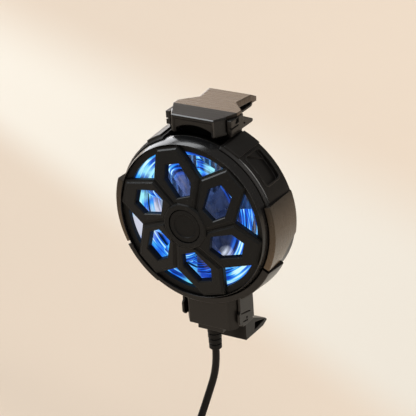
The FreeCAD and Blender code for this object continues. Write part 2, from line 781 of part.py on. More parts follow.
def magnet_ring():
    """Magnet bonded inside the rotor cup."""
    outer = FAN_HUB_R - HUB_WALL
    return ring(outer - MAGNET_T, outer, depth(FAN_D + HUB_WALL), depth(FAN_D + FAN_LEN) - FIT)


def fan_shaft():
    """Shaft from the rotor's boss into the bearing."""
    return disc(SHAFT_R, depth(FAN_D + HUB_WALL / 3), depth(FRAME_D + FRAME_T) - HUB_WALL)


def blade_section(radius, chord, stagger):
    """Thin cambered section on a plane square to +X, chord tilted from the fan axis."""
    camber = chord * 0.12
    lean = math.radians(stagger)

    def place(along, across):
        z = along * math.sin(lean) + across * math.cos(lean)
        y = along * math.cos(lean) - across * math.sin(lean)
        return V(radius, y, z)

    half = chord / 2
    thick = BLADE_T / 2
    upper = Part.Arc(place(-half, thick), place(0, camber + thick), place(half, thick)).toShape()
    lower = Part.Arc(place(half, -thick), place(0, camber - thick), place(-half, -thick)).toShape()
    nose = Part.LineSegment(place(half, thick), place(half, -thick)).toShape()
    tail = Part.LineSegment(place(-half, -thick), place(-half, thick)).toShape()
    return Part.Wire([upper, nose, lower, tail])


def blade():
    """One curved blade, lofted from the hub to the tip."""
    root_r = FAN_HUB_R - HUB_WALL / 2
    sections = [blade_section(root_r, *BLADE_ROOT), blade_section(FAN_R, *BLADE_TIP)]
    solid = Part.makeLoft(sections, True, True)
    solid.translate(V(0, depth(FAN_D + FAN_LEN / 2), 0))
    return solid.common(ring(root_r, FAN_R, depth(FAN_D), depth(FAN_D + FAN_LEN)))


def fan_rotor():
    """Rotor cup with its blades and the boss that holds the shaft."""
    y0 = depth(FAN_D)
    y1 = depth(FAN_D + FAN_LEN)
    inner = FAN_HUB_R - HUB_WALL
    result = spun([(0, y0), (FAN_HUB_R - HUB_ROUND, y0), (FAN_HUB_R, y0 + HUB_ROUND), (FAN_HUB_R, y1),
                   (inner, y1), (inner, y0 + HUB_WALL), (0, y0 + HUB_WALL)])
    result = result.cut(disc(SHAFT_R, y0 + HUB_WALL / 3, y1))
    for k in range(FAN_BLADES):
        result = result.fuse(turned(blade(), k * 360 / FAN_BLADES))
    return result.cut(disc(inner, y0 + HUB_WALL, y1 + 1)).removeSplitter()


def light_ring():
    """Clear stepped ring behind the grille that spreads the light."""
    y0 = depth(LIGHT_D)
    y1 = depth(LIGHT_D + LIGHT_LEN)
    inner = DUCT_R + FIT
    profile = [(LIGHT_OUT_R, y0), (LIGHT_OUT_R, y1), (inner, y1)]
    width = (LIGHT_OUT_R - LIGHT_EDGE - inner) / LIGHT_STEPS
    rise = (LIGHT_LEN - LIGHT_BASE) / LIGHT_STEPS
    for k in range(LIGHT_STEPS):
        r = inner + k * width
        y = y1 - LIGHT_BASE - k * rise
        profile += [(r, y), (r + width * 0.7, y - rise * 0.25)]
    profile.append((LIGHT_OUT_R - LIGHT_EDGE, y0))
    return spun(profile).cut(below_floor())


def led_board():
    """Ring board that carries the LEDs, behind the light ring."""
    y0 = depth(LIGHT_D + LIGHT_LEN) + LED_H
    return ring(DUCT_R + LIGHT_EDGE, LIGHT_OUT_R, y0, y0 + LED_BOARD_T).cut(below_floor())


def leds():
    """LEDs on the ring board, as a group of separate solids."""
    y0 = depth(LIGHT_D + LIGHT_LEN)
    half = LED_SIZE / 2
    chips = []
    for k in range(LED_COUNT):
        angle = (k + 0.5) * 360 / LED_COUNT
        if polar(LED_R + half, angle).z < FLOOR_Z - SEAT:
            chips.append(turned(block(LED_R - half, LED_R + half, y0, y0 + LED_H, -half, half), angle))
    return Part.makeCompound(chips)


def head_plan(half, shoulder, front_d, shoulder_d, back_d):
    """Plan outline of a head: flat front, slanted corners and straight sides."""
    return [(-half, front_d), (half, front_d), (shoulder, shoulder_d), (shoulder, back_d),
            (-shoulder, back_d), (-shoulder, shoulder_d)]


def head_front():
    """Front shell of the clamp head, hollow behind, with the arched cut-out."""
    z0, z1 = HEAD_Z
    shell = slab_z(head_plan(HEAD_HALF, HEAD_SHOULDER, HEAD_D, HEAD_SHOULDER_D, HEAD_BACK_D), z0, z1)
    room = head_plan(HEAD_HALF - HEAD_WALL, HEAD_SHOULDER - HEAD_WALL, HEAD_D + HEAD_WALL,
                     HEAD_SHOULDER_D, HEAD_BACK_D + 1)
    shell = shell.cut(slab_z(room, z0 - 1, z1 - HEAD_WALL))
    radius = (ARCH_HALF ** 2 + ARCH_RISE ** 2) / (2 * ARCH_RISE)
    top = z0 + ARCH_FOOT + ARCH_RISE
    y0 = depth(HEAD_D)
    through = block(-ARCH_HALF, ARCH_HALF, y0 - 1, y0 + HEAD_WALL + 1, z0 - 1, top)
    arch = through.common(pin(radius, HEAD_WALL + 2, 0, y0 - 1, top - radius))
    side = HEAD_HALF - PANEL_INSET
    top_edge = z1 - PANEL_INSET
    rim = [(-side, z0 - 1), (side, z0 - 1), (side, top_edge), (-side, top_edge)]
    panel = frustum(rim, inset(rim, PANEL_SINK), y0 - 0.01, y0 + PANEL_SINK)
    return shell.cut(arch).cut(panel).removeSplitter()


def head_block():
    """Eared block behind the front shell, stepped low on each ear."""
    z0, z1 = EAR_Z
    d0, d1 = EAR_D
    step_z = z0 + EAR_STEP_H
    ear_in = HEAD_SHOULDER + HEAD_WALL / 2
    back_d = HEAD_BACK_D + GLUE
    core_half = EAR_HALF - GROOVE_W
    result = block(-core_half, core_half, depth(back_d), depth(d1), z0, z1)
    for side in (-1, 1):
        low, high = on_side(side, ear_in, EAR_HALF - EAR_STEP)
        result = result.fuse(block(low, high, depth(d0) + EAR_STEP, depth(d1), z0, z1))
        low, high = on_side(side, ear_in, EAR_HALF)
        result = result.fuse(block(low, high, depth(d0), depth(d1), step_z, z1))
    for side in (-1, 1):
        low, high = on_side(side, EAR_HALF - EAR_STEP, EAR_HALF + 1)
        top = z1 - CATCH_DROP
        catch = slab_x([(d0 + CATCH_W, top - CATCH_H), (d0 + 2 * CATCH_W, top - CATCH_H),
                        (d0 + 2 * CATCH_W, top), (d0 + 1.25 * CATCH_W, top)], low, high)
        line_z = step_z + EAR_LINE_UP
        line = block(low, high, depth(d0) - 1, depth(d1 - EAR_LINE_GAP), line_z, line_z + EAR_LINE)
        result = result.cut(catch).cut(line)
    room = HEAD_SHOULDER - 2 * HEAD_WALL
    pocket = block(-room, room, depth(back_d) - 1, depth(FORK_D - 1), z0 - 1, z1 - HEAD_WALL)
    seat = block(-NECK_HALF - FIT, NECK_HALF + FIT, depth(FORK_D), depth(FORK_D) + FORK_T,
                 z0 - 1, z0 + NECK_IN)
    return result.cut(pocket).cut(seat).removeSplitter()


def top_plate():
    """Cover of the clamp head: level plate with a waist and a turned-down lip."""
    half_plan = [(HEAD_HALF, HEAD_D), (PLATE_CREST_HALF, PLATE_CREST_D), (PLATE_CREST_HALF, PLATE_SIDE_D),
                 (PLATE_NECK_HALF, PLATE_NECK_D), (PLATE_REAR_HALF, PLATE_REAR_D - 0.3),
                 (PLATE_REAR_HALF, PLATE_END_D)]
    plan = half_plan + [(-x, d) for x, d in reversed(half_plan)]
    body = slab_z(plan, PLATE_REAR_Z - LIP_DROP - 1, PLATE_CREST_Z + 1)
    under = PLATE_CREST_Z - PLATE_T
    lip_low = PLATE_REAR_Z - LIP_DROP
    back_d = HEAD_BACK_D + GLUE
    ear_back = EAR_D[1] + GLUE
    side = [(HEAD_D, HEAD_Z[1]), (HEAD_D, PLATE_FRONT_Z), (PLATE_CREST_D, PLATE_CREST_Z),
            (PLATE_REAR_D, PLATE_REAR_Z), (PLATE_END_D, PLATE_REAR_Z - LIP_T), (PLATE_END_D - 0.2, lip_low),
            (PLATE_END_D - LIP_W, lip_low + EDGE), (PLATE_END_D - LIP_W - 0.4, under), (ear_back, under),
            (ear_back, EAR_Z[1]), (back_d, EAR_Z[1]), (back_d, HEAD_Z[1])]
    return body.common(slab_x(side, -PLATE_CREST_HALF - 1, PLATE_CREST_HALF + 1)).removeSplitter()


def upper_finger():
    """Thin finger under the top plate, with a small turned-up tip."""
    z0 = FINGER_Z
    z1 = z0 + FINGER_T
    under = PLATE_CREST_Z - PLATE_T
    tip = FINGER_TIP_D
    side = [(EAR_D[1] + GLUE, z0), (tip - FINGER_T, z0), (tip, z0 + FINGER_TIP), (tip, z1 + FINGER_TIP),
            (tip - FINGER_T, z1 + FINGER_TIP), (tip - FINGER_T - FINGER_TIP, z1), (STRAP_D[1], z1),
            (STRAP_D[1], under), (EAR_D[1] + GLUE, under)]
    return slab_x(side, -FINGER_HALF, FINGER_HALF)


def jaw_wedge(outline, pocket):
    """Wedge behind the strap with a deep pocket in each side."""
    solid = slab_x(outline, -STRAP_HALF, STRAP_HALF)
    for side in (-1, 1):
        low, high = on_side(side, STRAP_HALF - JAW_POCKET, STRAP_HALF + 1)
        solid = solid.cut(slab_x(pocket, low, high))
    return solid


def top_jaw():
    """Hook that grips the phone's upper edge, with the strap that carries it."""
    z0 = TOP_JAW_Z
    z1 = z0 + TOP_JAW_H
    root = STRAP_D[1]
    tip = TOP_JAW_TIP_D
    wall = JAW_WALL
    outline = [(root, z0), (tip - EDGE, z0), (tip, z0 + EDGE), (tip, z0 + 3 * EDGE),
               (tip - EDGE, z0 + 4 * EDGE), (root + TOP_JAW_FLAT, z1), (root, z1)]
    pocket = [(root + wall, z0 + wall), (tip - 4 * wall, z0 + wall), (root + TOP_JAW_FLAT, z1 - wall),
              (root + wall, z1 - wall)]
    strap = block(-STRAP_HALF, STRAP_HALF, depth(STRAP_D[0]), depth(root), z0, FINGER_Z - GLUE)
    seat = block(-STRAP_HALF, STRAP_HALF, depth(EAR_D[1]) + GLUE, depth(STRAP_D[0]),
                 EAR_Z[0] + EDGE, FINGER_Z - GLUE)
    return fused([strap, seat, jaw_wedge(outline, pocket)])


def slider_fork():
    """Flat fork in the housing: neck to the head, crossbar and two guided legs."""
    y0 = depth(FORK_D)
    y1 = y0 + FORK_T
    top = BAR_Z + BAR_H
    corner = 0.7
    half_bar = [(FORK_OUT, BAR_Z), (FORK_OUT, top - corner), (FORK_OUT - corner, top), (NECK_HALF, top),
                (NECK_HALF, EAR_Z[0] + NECK_IN)]
    bar = slab_y(half_bar + [(-x, z) for x, z in reversed(half_bar)], y0, y1)
    legs = []
    for side in (-1, 1):
        low, high = on_side(side, FORK_OUT - LEG_W, FORK_OUT)
        leg = block(low, high, y0, y1, FORK_END_Z, BAR_Z + corner)
        legs.append(leg.cut(pin(EYE_R, FORK_T + 2, side * SPRING_X, y0 - 1, FORK_END_Z + 2 * EYE_R)))
    return fused([bar] + legs)


def return_springs():
    """Two drawn springs from the fork's legs to the posts, as plain tubes."""
    y_mid = depth(FORK_D) + FORK_T / 2
    z_low = POST_Z + POST_R + FIT
    length = FORK_END_Z - FIT - z_low
    tubes = []
    for side in (-1, 1):
        base = V(side * SPRING_X, y_mid, z_low)
        outer = Part.makeCylinder(SPRING_R, length, base, AXIS_Z)
        tubes.append(outer.cut(Part.makeCylinder(SPRING_BORE_R, length + 2, base - AXIS_Z, AXIS_Z)))
    return Part.makeCompound(tubes)


def cable_block():
    """Front shell of the cable block, hollow, with the stepped plinth below."""
    plan = head_plan(BLOCK_HALF, BLOCK_SHOULDER, BLOCK_D, BLOCK_SHOULDER_D, BLOCK_BACK_D)
    shell = slab_z(plan, BLOCK_Z, BLOCK_TOP_Z)
    tall = [e for e in shell.Edges if abs(e.Vertexes[0].Point.z - e.Vertexes[1].Point.z) > 5]
    front = [e for e in tall if e.BoundBox.YMax < depth(BLOCK_SHOULDER_D + GLUE)]
    shell = shell.makeFillet(BLOCK_ROUND, front)
    side = [(BLOCK_SHOULDER - BLOCK_ROUND, BLOCK_Z), (BLOCK_SHOULDER, BLOCK_Z + BLOCK_ROUND),
            (BLOCK_SHOULDER, BLOCK_TOP_Z)]
    outline = side + [(-x, z) for x, z in reversed(side)]
    shell = shell.common(slab_y(outline, depth(BLOCK_D), depth(BLOCK_BACK_D)))
    plinth = block(-PLINTH_HALF, PLINTH_HALF, depth(PLINTH_D[0]), depth(PLINTH_D[1]),
                   BLOCK_Z - PLINTH_H, BLOCK_Z)
    room = head_plan(BLOCK_HALF - BLOCK_WALL, BLOCK_SHOULDER - BLOCK_WALL, BLOCK_D + BLOCK_WALL,
                     BLOCK_SHOULDER_D, BLOCK_BACK_D + 5)
    shell = shell.fuse(plinth).cut(slab_z(room, BLOCK_Z + BLOCK_WALL, BLOCK_TOP_Z + 1))
    hole = Part.makeCylinder(CABLE_R + FIT, BLOCK_H, V(0, depth(RELIEF_D), BLOCK_Z - PLINTH_H - 1), AXIS_Z)
    return shell.cut(hole).cut(envelope(GLUE)).removeSplitter()


def bottom_block():
    """Eared block behind the cable block, fixed to the housing."""
    z0, z1 = LOW_EAR_Z
    d0, d1 = LOW_EAR_D
    ear_in = BLOCK_SHOULDER + SEAT
    core_half = LOW_EAR_HALF - 2 * SEAT
    result = block(-core_half, core_half, depth(BLOCK_BACK_D + GLUE), depth(d1),
                   BLOCK_Z + FIT, BLOCK_TOP_Z + 4)
    profile = [(d0, z1), (d0, LUG_Z[1] + 1.1), (LUG_D, LUG_Z[1]), (LUG_D, LUG_Z[0]), (d0, z0),
               (d1, z0), (d1, z1)]
    lines = []
    for front_d, front_z, back_d, back_z in (
        (d0 + EDGE, z0 + 5.1, d1 - 2.6, z0 + 3.6),
        (d0 + 1.3, z0 + 1.4, d0 + 4.8, z0 + 0.7),
    ):
        lines.append([(front_d, front_z), (back_d, back_z), (back_d, back_z - EAR_LINE),
                      (front_d, front_z - EAR_LINE)])
    for side in (-1, 1):
        low, high = on_side(side, ear_in, LOW_EAR_HALF)
        result = result.fuse(slab_x(profile, low, high))
    for side in (-1, 1):
        low, high = on_side(side, LOW_EAR_HALF - EAR_LINE, LOW_EAR_HALF + 1)
        base = V(side * (LOW_EAR_HALF - 2 * EAR_LINE), depth(d0 + 4.2), z0 + 1.7)
        hole = Part.makeCylinder(EAR_HOLE_R, 2, base, AXIS_X * side)
        for line in lines:
            result = result.cut(slab_x(line, low, high))
        result = result.cut(hole)
    return result.cut(envelope(GLUE)).cut(disc(BACK_R + GLUE, depth(REAR_D) - 1, 1)).removeSplitter()


def bottom_jaw():
    """Hook under the phone's lower edge, on a strap behind the eared block."""
    z0 = LOW_JAW_Z
    root = STRAP_D[1]
    tip = LOW_JAW_TIP_D
    wall = JAW_WALL
    outline = [(root, z0), (tip - LOW_JAW_EDGE, z0), (tip, z0 + 0.85 * wall), (tip, z0 + 1.15 * wall),
               (tip - 0.75 * wall, z0 + 1.85 * wall), (root, z0 + LOW_JAW_H)]
    corner = tip - LOW_JAW_POCKET_GAP
    pocket = [(root + 3.1 * wall, z0 + wall), (corner, z0 + 1.5 * wall), (corner, z0 + 1.9 * wall),
              (root + 3.6 * wall, z0 + 3.3 * wall)]
    strap = block(-STRAP_HALF, STRAP_HALF, depth(STRAP_D[0]), depth(root), z0, LOW_EAR_Z[1] - LUG_LOW)
    return fused([strap, jaw_wedge(outline, pocket)])


def control_board():
    """Small driver board in the cable block, with its chips."""
    width, thick, height = BOARD
    y0 = depth(BLOCK_D + BLOCK_WALL) + FIT
    y1 = y0 + thick
    z0 = BLOCK_Z + BLOCK_WALL + SEAT
    board = block(-width / 2, width / 2, y0, y1, z0, z0 + height)
    chip = block(-2.5, 2.5, y1, y1 + 0.7, z0 + height / 2, z0 + height - 1)
    inductor = pin(1.2, 0.7, -width / 3, y1, z0 + height / 4)
    return fused([board, chip, inductor])


def block_screws():
    """Screws through the eared blocks from behind, as a group of separate solids."""
    screws = []
    half = CROSS_W / 2
    for side in (-1, 1):
        x = side * (STRAP_HALF + SCREW_R + SEAT)
        y = depth(LOW_EAR_D[1])
        z = BLOCK_Z + 2 * SCREW_R
        head = pin(SCREW_R, SCREW_HEAD_H, x, y, z)
        screws.append(head.cut(block(x - 1, x + 1, y + CROSS_H, y + SCREW_HEAD_H, z - half, z + half)))
    return Part.makeCompound(screws)


def relief_end():
    """Point where the cable leaves the strain relief."""
    return V(0, depth(RELIEF_D), BLOCK_Z - PLINTH_H - RELIEF_L)


def strain_relief():
    """Ribbed sleeve under the plinth, tapering a little to its end."""
    top = BLOCK_Z - PLINTH_H
    end = relief_end().z
    pitch = RELIEF_L / RELIEF_RIBS
    taper = (RELIEF_R - RELIEF_END_R) / RELIEF_RIBS
    profile = [(CABLE_R, top), (RELIEF_R, top)]
    for k in range(RELIEF_RIBS):
        radius = RELIEF_R - taper * k
        low = top - (k + 1) * pitch
        profile.append((radius, low + RIB_GAP))
        if k < RELIEF_RIBS - 1:
            profile += [(radius - RIB_DEEP, low + RIB_GAP), (radius - RIB_DEEP, low), (radius - taper, low)]
    profile += [(RELIEF_END_R - RIB_DEEP, end), (CABLE_R, end)]
    solid = closed([V(r, 0, z) for r, z in profile]).revolve(ORIGIN, AXIS_Z, 360)
    solid.translate(V(0, depth(RELIEF_D), 0))
    return solid


def route():
    """Points of the cable's free stretch: it hangs, swings forward and lands on the coil."""
    return [relief_end() + V(*offset) for offset in CABLE_ROUTE]


def landing_heading():
    """Level direction in which the cable meets the coil."""
    points = route()
    return (points[-1] - points[-2]).normalize()


def coil_centre():
    """Point on the coil's axis, level with its top layer."""
    heading = landing_heading()
    return route()[-1] + V(-heading.y, heading.x, 0) * COIL_OUT_R


def landing_angle():
    """Angle about the coil's axis at which the cable lands on the outer turn."""
    heading = landing_heading()
    return math.degrees(math.atan2(heading.y, heading.x)) - 90


def coil_points():
    """Points and directions along the coil every half turn, from the top layer down."""
    centre = coil_centre()
    crossing = LAYER_LOOPS + 2 * CROSS_STEP
    swing = LAYER_LOOPS + CROSS_STEP + CROSS_SWING
    points = []
    for layer in range(COIL_LAYERS):
        inward = layer % 2 == 0
        stops = [k / 2 for k in range(2 * LAYER_LOOPS + 1)]
        if layer < COIL_LAYERS - 1:
            stops.append(crossing)
        for within in stops:
            step, drop, slope = within, layer, 0
            if within == crossing:
                step = swing
                drop = layer + 0.5
                slope = -1.5 * COIL_PITCH / (math.pi * COIL_OUT_R)
            radius = COIL_OUT_R - COIL_PITCH * (step if inward else crossing - step)
            a = math.radians(landing_angle() + (layer * (LAYER_LOOPS + 0.5) + within) * 360)
            place = V(centre.x + radius * math.cos(a), centre.y + radius * math.sin(a),
                      centre.z - drop * COIL_PITCH)
            points.append((place, V(-math.sin(a), math.cos(a), slope).normalize()))
    return points


def floor_z():
    """Level of the floor under the coil's tie."""
    return coil_points()[-1][0].z - CABLE_R - TIE_GAP - TIE_T


def arc_between(start, heading, end):
    """Arc that leaves a point in a direction and passes through another."""
    chord = end - start
    side = chord - heading * chord.dot(heading)
    if side.Length < 1e-6:
        return Part.LineSegment(start, end).toShape()
    side.normalize()
    radius = chord.dot(chord) / (2 * chord.dot(side))
    centre = start + side * radius
    middle = (start + end) * 0.5 - centre
    if chord.dot(heading) < 0:
        middle = middle * -1
    middle.normalize()
    return Part.Arc(start, centre + middle * abs(radius), end).toShape()


def biarc(p0, t0, p1, t1):
    """Two arcs from one point and direction to another, with one tangent between."""
    chord = p1 - p0
    total = t0 + t1
    a = total.dot(total) - 4
    b = -2 * chord.dot(total)
    c = chord.dot(chord)
    if abs(a) < 1e-9:
        reach = -c / b
    else:
        root = math.sqrt(b * b - 4 * a * c)
        reach = max((-b + root) / (2 * a), (-b - root) / (2 * a))
    q0 = p0 + t0 * reach
    q1 = p1 - t1 * reach
    joint = (q0 + q1) * 0.5
    heading = (q1 - q0).normalize()
    return [arc_between(p0, t0, joint), arc_between(joint, heading, p1)]


def tangent_path(points):
    """Straight runs joined by tangent arcs, each as large as its runs allow."""
    edges = []
    here = points[0]
    radii = []
    for before, corner, after in zip(points, points[1:], points[2:]):
        into = corner - before
        out = after - corner
        turn = into.getAngle(out)
        cut = 0.45 * min(into.Length, out.Length)
        radii.append(cut / math.tan(turn / 2))
        a = corner - V(into).normalize() * cut
        b = corner + V(out).normalize() * cut
        bisector = (a + b) * 0.5 - corner
        gap = radii[-1] / math.cos(turn / 2) - radii[-1]
        middle = corner + bisector.normalize() * gap
        edges.append(Part.LineSegment(here, a).toShape())
        edges.append(Part.Arc(a, middle, b).toShape())
        here = b
    edges.append(Part.LineSegment(here, points[-1]).toShape())
    print("cable radii", [round(r, 1) for r in radii])
    return Part.Wire(edges)


def tube_along(path, heading):
    """Round tube of the cable's thickness swept along a wire."""
    start = path.Vertexes[0].Point
    rim = Part.Wire(Part.makeCircle(CABLE_R, start, heading))
    return path.makePipeShell([rim], True, False)


def volume_share(tube, path):
    """Tube's volume over its section times its length."""
    return round(tube.Volume / (math.pi * CABLE_R ** 2 * path.Length), 4)


def power_cable():
    """Free stretch of the cable."""
    points = route()
    path = tangent_path(points)
    tube = tube_along(path, points[1] - points[0])
    print("cable", round(path.Length, 1), "volume share", volume_share(tube, path))
    return tube


def coil_wire():
    """Path of the coil's turns."""
    points = coil_points()
    edges = []
    for (p0, t0), (p1, t1) in zip(points, points[1:]):
        edges += biarc(p0, t0, p1, t1)
    return Part.Wire(edges)


def least_gap(path, step=1.0):
    """Least clear distance between one turn of the coil and another."""
    points = path.discretize(Number=int(path.Length / step))
    skip = int(COIL_OUT_R * 1.5 / step)
    least = path.Length
    for i, p in enumerate(points):
        for q in points[i + skip:]:
            least = min(least, (p - q).Length)
    return least - 2 * CABLE_R


def cable_coil():
    """Put-away rest of the cable, wound in four layers."""
    path = coil_wire()
    coil = tube_along(path, coil_points()[0][1])
    print("coil", round(path.Length, 1), "volume share", volume_share(coil, path),
          "least gap", round(least_gap(path), 2))
    return coil


def lead_points():
    """Points of the short lead from the coil's lower end to the plug."""
    end, heading = coil_points()[-1]
    rise = V(0, 0, floor_z() + PLUG_SIZE[1] / 2 - end.z)
    return [end, end + heading * LEAD_RUN, end + heading * (2 * LEAD_RUN) + rise,
            end + heading * (3 * LEAD_RUN) + rise]


def plug_lead():
    """Last stretch of the cable, from the coil to the plug."""
    points = lead_points()
    return tube_along(tangent_path(points), points[1] - points[0])


def at_plug(shape):
    """Shape drawn along +X from the plug's rear, moved to the lead's end."""
    heading = coil_points()[-1][1]
    copy = shape.copy()
    copy.rotate(ORIGIN, AXIS_Z, math.degrees(math.atan2(heading.y, heading.x)))
    copy.translate(lead_points()[-1])
    return copy


def plug_body():
    """Overmould of the USB plug, with a tapered neck and finger ridges."""
    width, thick, length = PLUG_SIZE
    half, low = width / 2, thick / 2
    shell_half, shell_low = PLUG_SHELL[0] / 2, PLUG_SHELL[1] / 2
    body = block(PLUG_TAPER, length, -half, half, -low, low)
    long_edges = [e for e in body.Edges if abs(e.Vertexes[0].Point.x - e.Vertexes[1].Point.x) > 1]
    body = body.makeFillet(PLUG_CORNER, long_edges)
    body = body.fuse(Part.makeCone(RELIEF_END_R, PLUG_NECK_R, PLUG_TAPER, ORIGIN, AXIS_X))
    for k in range(PLUG_RIDGES):
        x = PLUG_TAPER + PLUG_RIDGES + RIDGE_PITCH * k
        for side in (-1, 1):
            y0, y1 = on_side(side, half - 0.5, half + 1)
            body = body.cut(block(x, x + RIDGE_W, y0, y1, -low - 1, low + 1))
    body = body.cut(block(length - SHELL_SEAT, length + 1, -shell_half, shell_half, -shell_low, shell_low))
    return at_plug(body.removeSplitter())


def plug_shell():
    """Metal shell of the USB plug, with its square latch holes."""
    width, thick, reach = PLUG_SHELL
    x0 = PLUG_SIZE[2] - SHELL_SEAT
    x1 = PLUG_SIZE[2] + reach
    wall = SHELL_WALL
    tube = block(x0, x1, -width / 2, width / 2, -thick / 2, thick / 2).cut(
        block(x0 + wall, x1 + 1, wall - width / 2, width / 2 - wall, wall - thick / 2, thick / 2 - wall))
    for middle in (-width / 5, width / 5):
        tube = tube.cut(block(x1 - 3 * LATCH, x1 - 2 * LATCH, middle - LATCH / 2, middle + LATCH / 2,
                              -thick, thick))
    return at_plug(tube)


def plug_tongue():
    """Insulating tongue in the plug's shell, with its four contacts as ridges."""
    width, thick, reach = PLUG_SHELL
    half = width / 2 - SHELL_WALL
    low = SHELL_WALL - thick / 2
    x0 = PLUG_SIZE[2] - SHELL_SEAT + SHELL_WALL
    x1 = PLUG_SIZE[2] + reach - 0.6
    result = block(x0, x1, -half, half, low, 0)
    result = result.fuse(block(x0, x0 + SHELL_SEAT - 1, -half, half, 0, -low))
    for y in CONTACTS:
        result = result.fuse(block(x0 + SHELL_SEAT - 1, x1 - 0.8, y - 0.5, y + 0.5, 0, 0.2))
    return at_plug(result.removeSplitter())


def cable_tie():
    """Strap round the bundle of the coil, with its loose tail."""
    low = floor_z()
    top = coil_centre().z + CABLE_R + TIE_GAP + TIE_T
    half = TIE_W / 2
    clear_r = COIL_OUT_R - (LAYER_LOOPS + CROSS_STEP + CROSS_SWING) * COIL_PITCH - CABLE_R - TIE_GAP
    r_in = math.sqrt(clear_r ** 2 - half ** 2)
    r_out = COIL_OUT_R + CABLE_R + TIE_GAP
    outer = block(r_in - TIE_T, r_out + TIE_T, -half, half, low, top)
    inner = block(r_in, r_out, -half - 1, half + 1, low + TIE_T, top - TIE_T)
    across = [e for e in outer.Edges if abs(e.Vertexes[0].Point.y - e.Vertexes[1].Point.y) > half]
    band = outer.makeFillet(TIE_ROUND, across).cut(inner)
    middle = (low + top) / 2
    tail = block(r_out + TIE_T - GLUE, r_out + 2 * TIE_T, -half, half,
                 middle - TIE_TAIL / 2, middle + TIE_TAIL / 2)
    band = band.fuse(tail).removeSplitter()
    band.rotate(ORIGIN, AXIS_Z, TIE_ANGLE + landing_angle())
    band.translate(V(coil_centre().x, coil_centre().y, 0))
    return band


MAKERS = [
    front_grille, hub_cap, bezel_ring, housing_shell, rear_cover, rear_screws, silicone_pad,
    cold_plate, peltier_module, heat_sink, fan_frame, sleeve_bearing, stator, magnet_ring,
    fan_shaft, fan_rotor, light_ring, led_board, leds, head_front, head_block, top_plate,
    upper_finger, top_jaw, slider_fork, return_springs, cable_block, bottom_block, bottom_jaw,
    control_board, block_screws, strain_relief, power_cable, cable_coil,
    cable_tie, plug_lead, plug_body, plug_shell, plug_tongue,
]


def main():
    """Write every node as a STEP file."""
    os.makedirs("parts", exist_ok=True)
    nodes = {make.__name__: make() for make in MAKERS}
    grip = side_grip()
    nodes["side_grip_right"] = grip
    nodes["side_grip_left"] = mirrored(grip)
    for name, shape in nodes.items():
        if not shape.isValid():
            print("not valid:", name)
        shape.exportStep(f"parts/{name}.step")
    print(len(nodes), "nodes")


main()
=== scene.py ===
"""Looks of the phone cooling fan: camera, cable, finishes and light round its CAD model."""
import math

import bmesh
import bpy
from mathutils import Matrix, Vector


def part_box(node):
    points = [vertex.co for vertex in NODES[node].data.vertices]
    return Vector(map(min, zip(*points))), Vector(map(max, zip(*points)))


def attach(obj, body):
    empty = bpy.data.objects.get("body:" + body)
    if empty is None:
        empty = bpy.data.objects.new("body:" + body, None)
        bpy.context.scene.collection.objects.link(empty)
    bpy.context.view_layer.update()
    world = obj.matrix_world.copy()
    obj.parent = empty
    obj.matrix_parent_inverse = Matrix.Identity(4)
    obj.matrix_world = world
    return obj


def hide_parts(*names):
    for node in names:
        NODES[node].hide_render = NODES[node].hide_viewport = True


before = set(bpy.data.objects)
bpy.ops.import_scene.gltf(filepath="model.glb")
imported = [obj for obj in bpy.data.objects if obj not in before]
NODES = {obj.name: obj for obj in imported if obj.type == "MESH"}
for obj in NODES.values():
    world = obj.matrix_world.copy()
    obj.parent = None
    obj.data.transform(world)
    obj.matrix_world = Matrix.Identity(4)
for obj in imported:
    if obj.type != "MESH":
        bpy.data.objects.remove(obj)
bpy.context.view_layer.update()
SCENE = bpy.context.scene
MM = 0.001

# Camera, from the photograph's vanishing lines. Angles are in degrees and distances in metres.
CAMERA_AZIMUTH = 32.75
CAMERA_ELEVATION = 25.03
CAMERA_ROLL = -4.01
CAMERA_DISTANCE = 0.696
CAMERA_LENS = 171.8
CAMERA_SENSOR = 36.0
CAMERA_FAR_END = 30
LOOK_RIGHT = 0.006351
LOOK_UP = 0.005046
RIM_CENTRE = Vector((0, -0.0213, 0))

# Cable, in millimetres of the part's frame: its free stretch, the coil with its layers, and the
# lead that rises to the plug.
CABLE_D = 2.8
CABLE_ROUTE = [
    (0.0, -10.3, -56.0), (0.0, -10.3, -63.7), (-2.8, -13.2, -75.0), (-6.5, -19.9, -91.6),
    (-2.3, -20.1, -101.9), (6.0, -16.8, -108.4), (15.5, -11.3, -108.4),
]
COIL_OUT_R = 19.3
COIL_PITCH = 3.4
COIL_LAYERS = 4
LAYER_LOOPS = 2
CROSS_TURN = 0.5
CROSS_STEP = 0.25
CROSS_SWING = 0.3
POINTS_PER_TURN = 16
LEAD_RUN = 9.0
PLUG_RISE = 1.8

# Bezel, in millimetres of the part's frame: its crown falls towards the front along a power curve
BEZEL_R = 30.45
BEZEL_IN_R = 29.1
BEZEL_LOW_R = 28.45
BEZEL_FALL = 1.2
BEZEL_POWER = 1.8
BEZEL_STEPS = 16
BEZEL_BEVEL = 0.15
BEZEL_FRONT_Y = -21.1
BEZEL_SEAT_Y = -18.1
BEZEL_END_Y = -15.7
ROUND_STEPS = 180
SHARP_ANGLE = 35

# Trims that catch the light, in millimetres of the part's frame. The head's front edge runs
# through corners (x, y), has a way out at each, and lies in rows (out, up) from the head's top.
HEAD_HALF = 8.5
HEAD_Y = -15.1
HEAD_Z = (30.9, 37.3)
HEAD_CORNERS = [(-11.0, -10.7), (-HEAD_HALF, HEAD_Y), (HEAD_HALF, HEAD_Y), (11.0, -10.7)]
HEAD_WAYS_OUT = [(-0.87, -0.494), (-0.27, -1.0), (0.27, -1.0), (0.87, -0.494)]
HEAD_ROWS = [(0.15, -0.10), (-0.31, 0.26), (-0.31, -0.30)]
SIDE_R = 0.3
SIDE_SINK = 0.12
SIDE_STOPS = (0.4, 0.3)
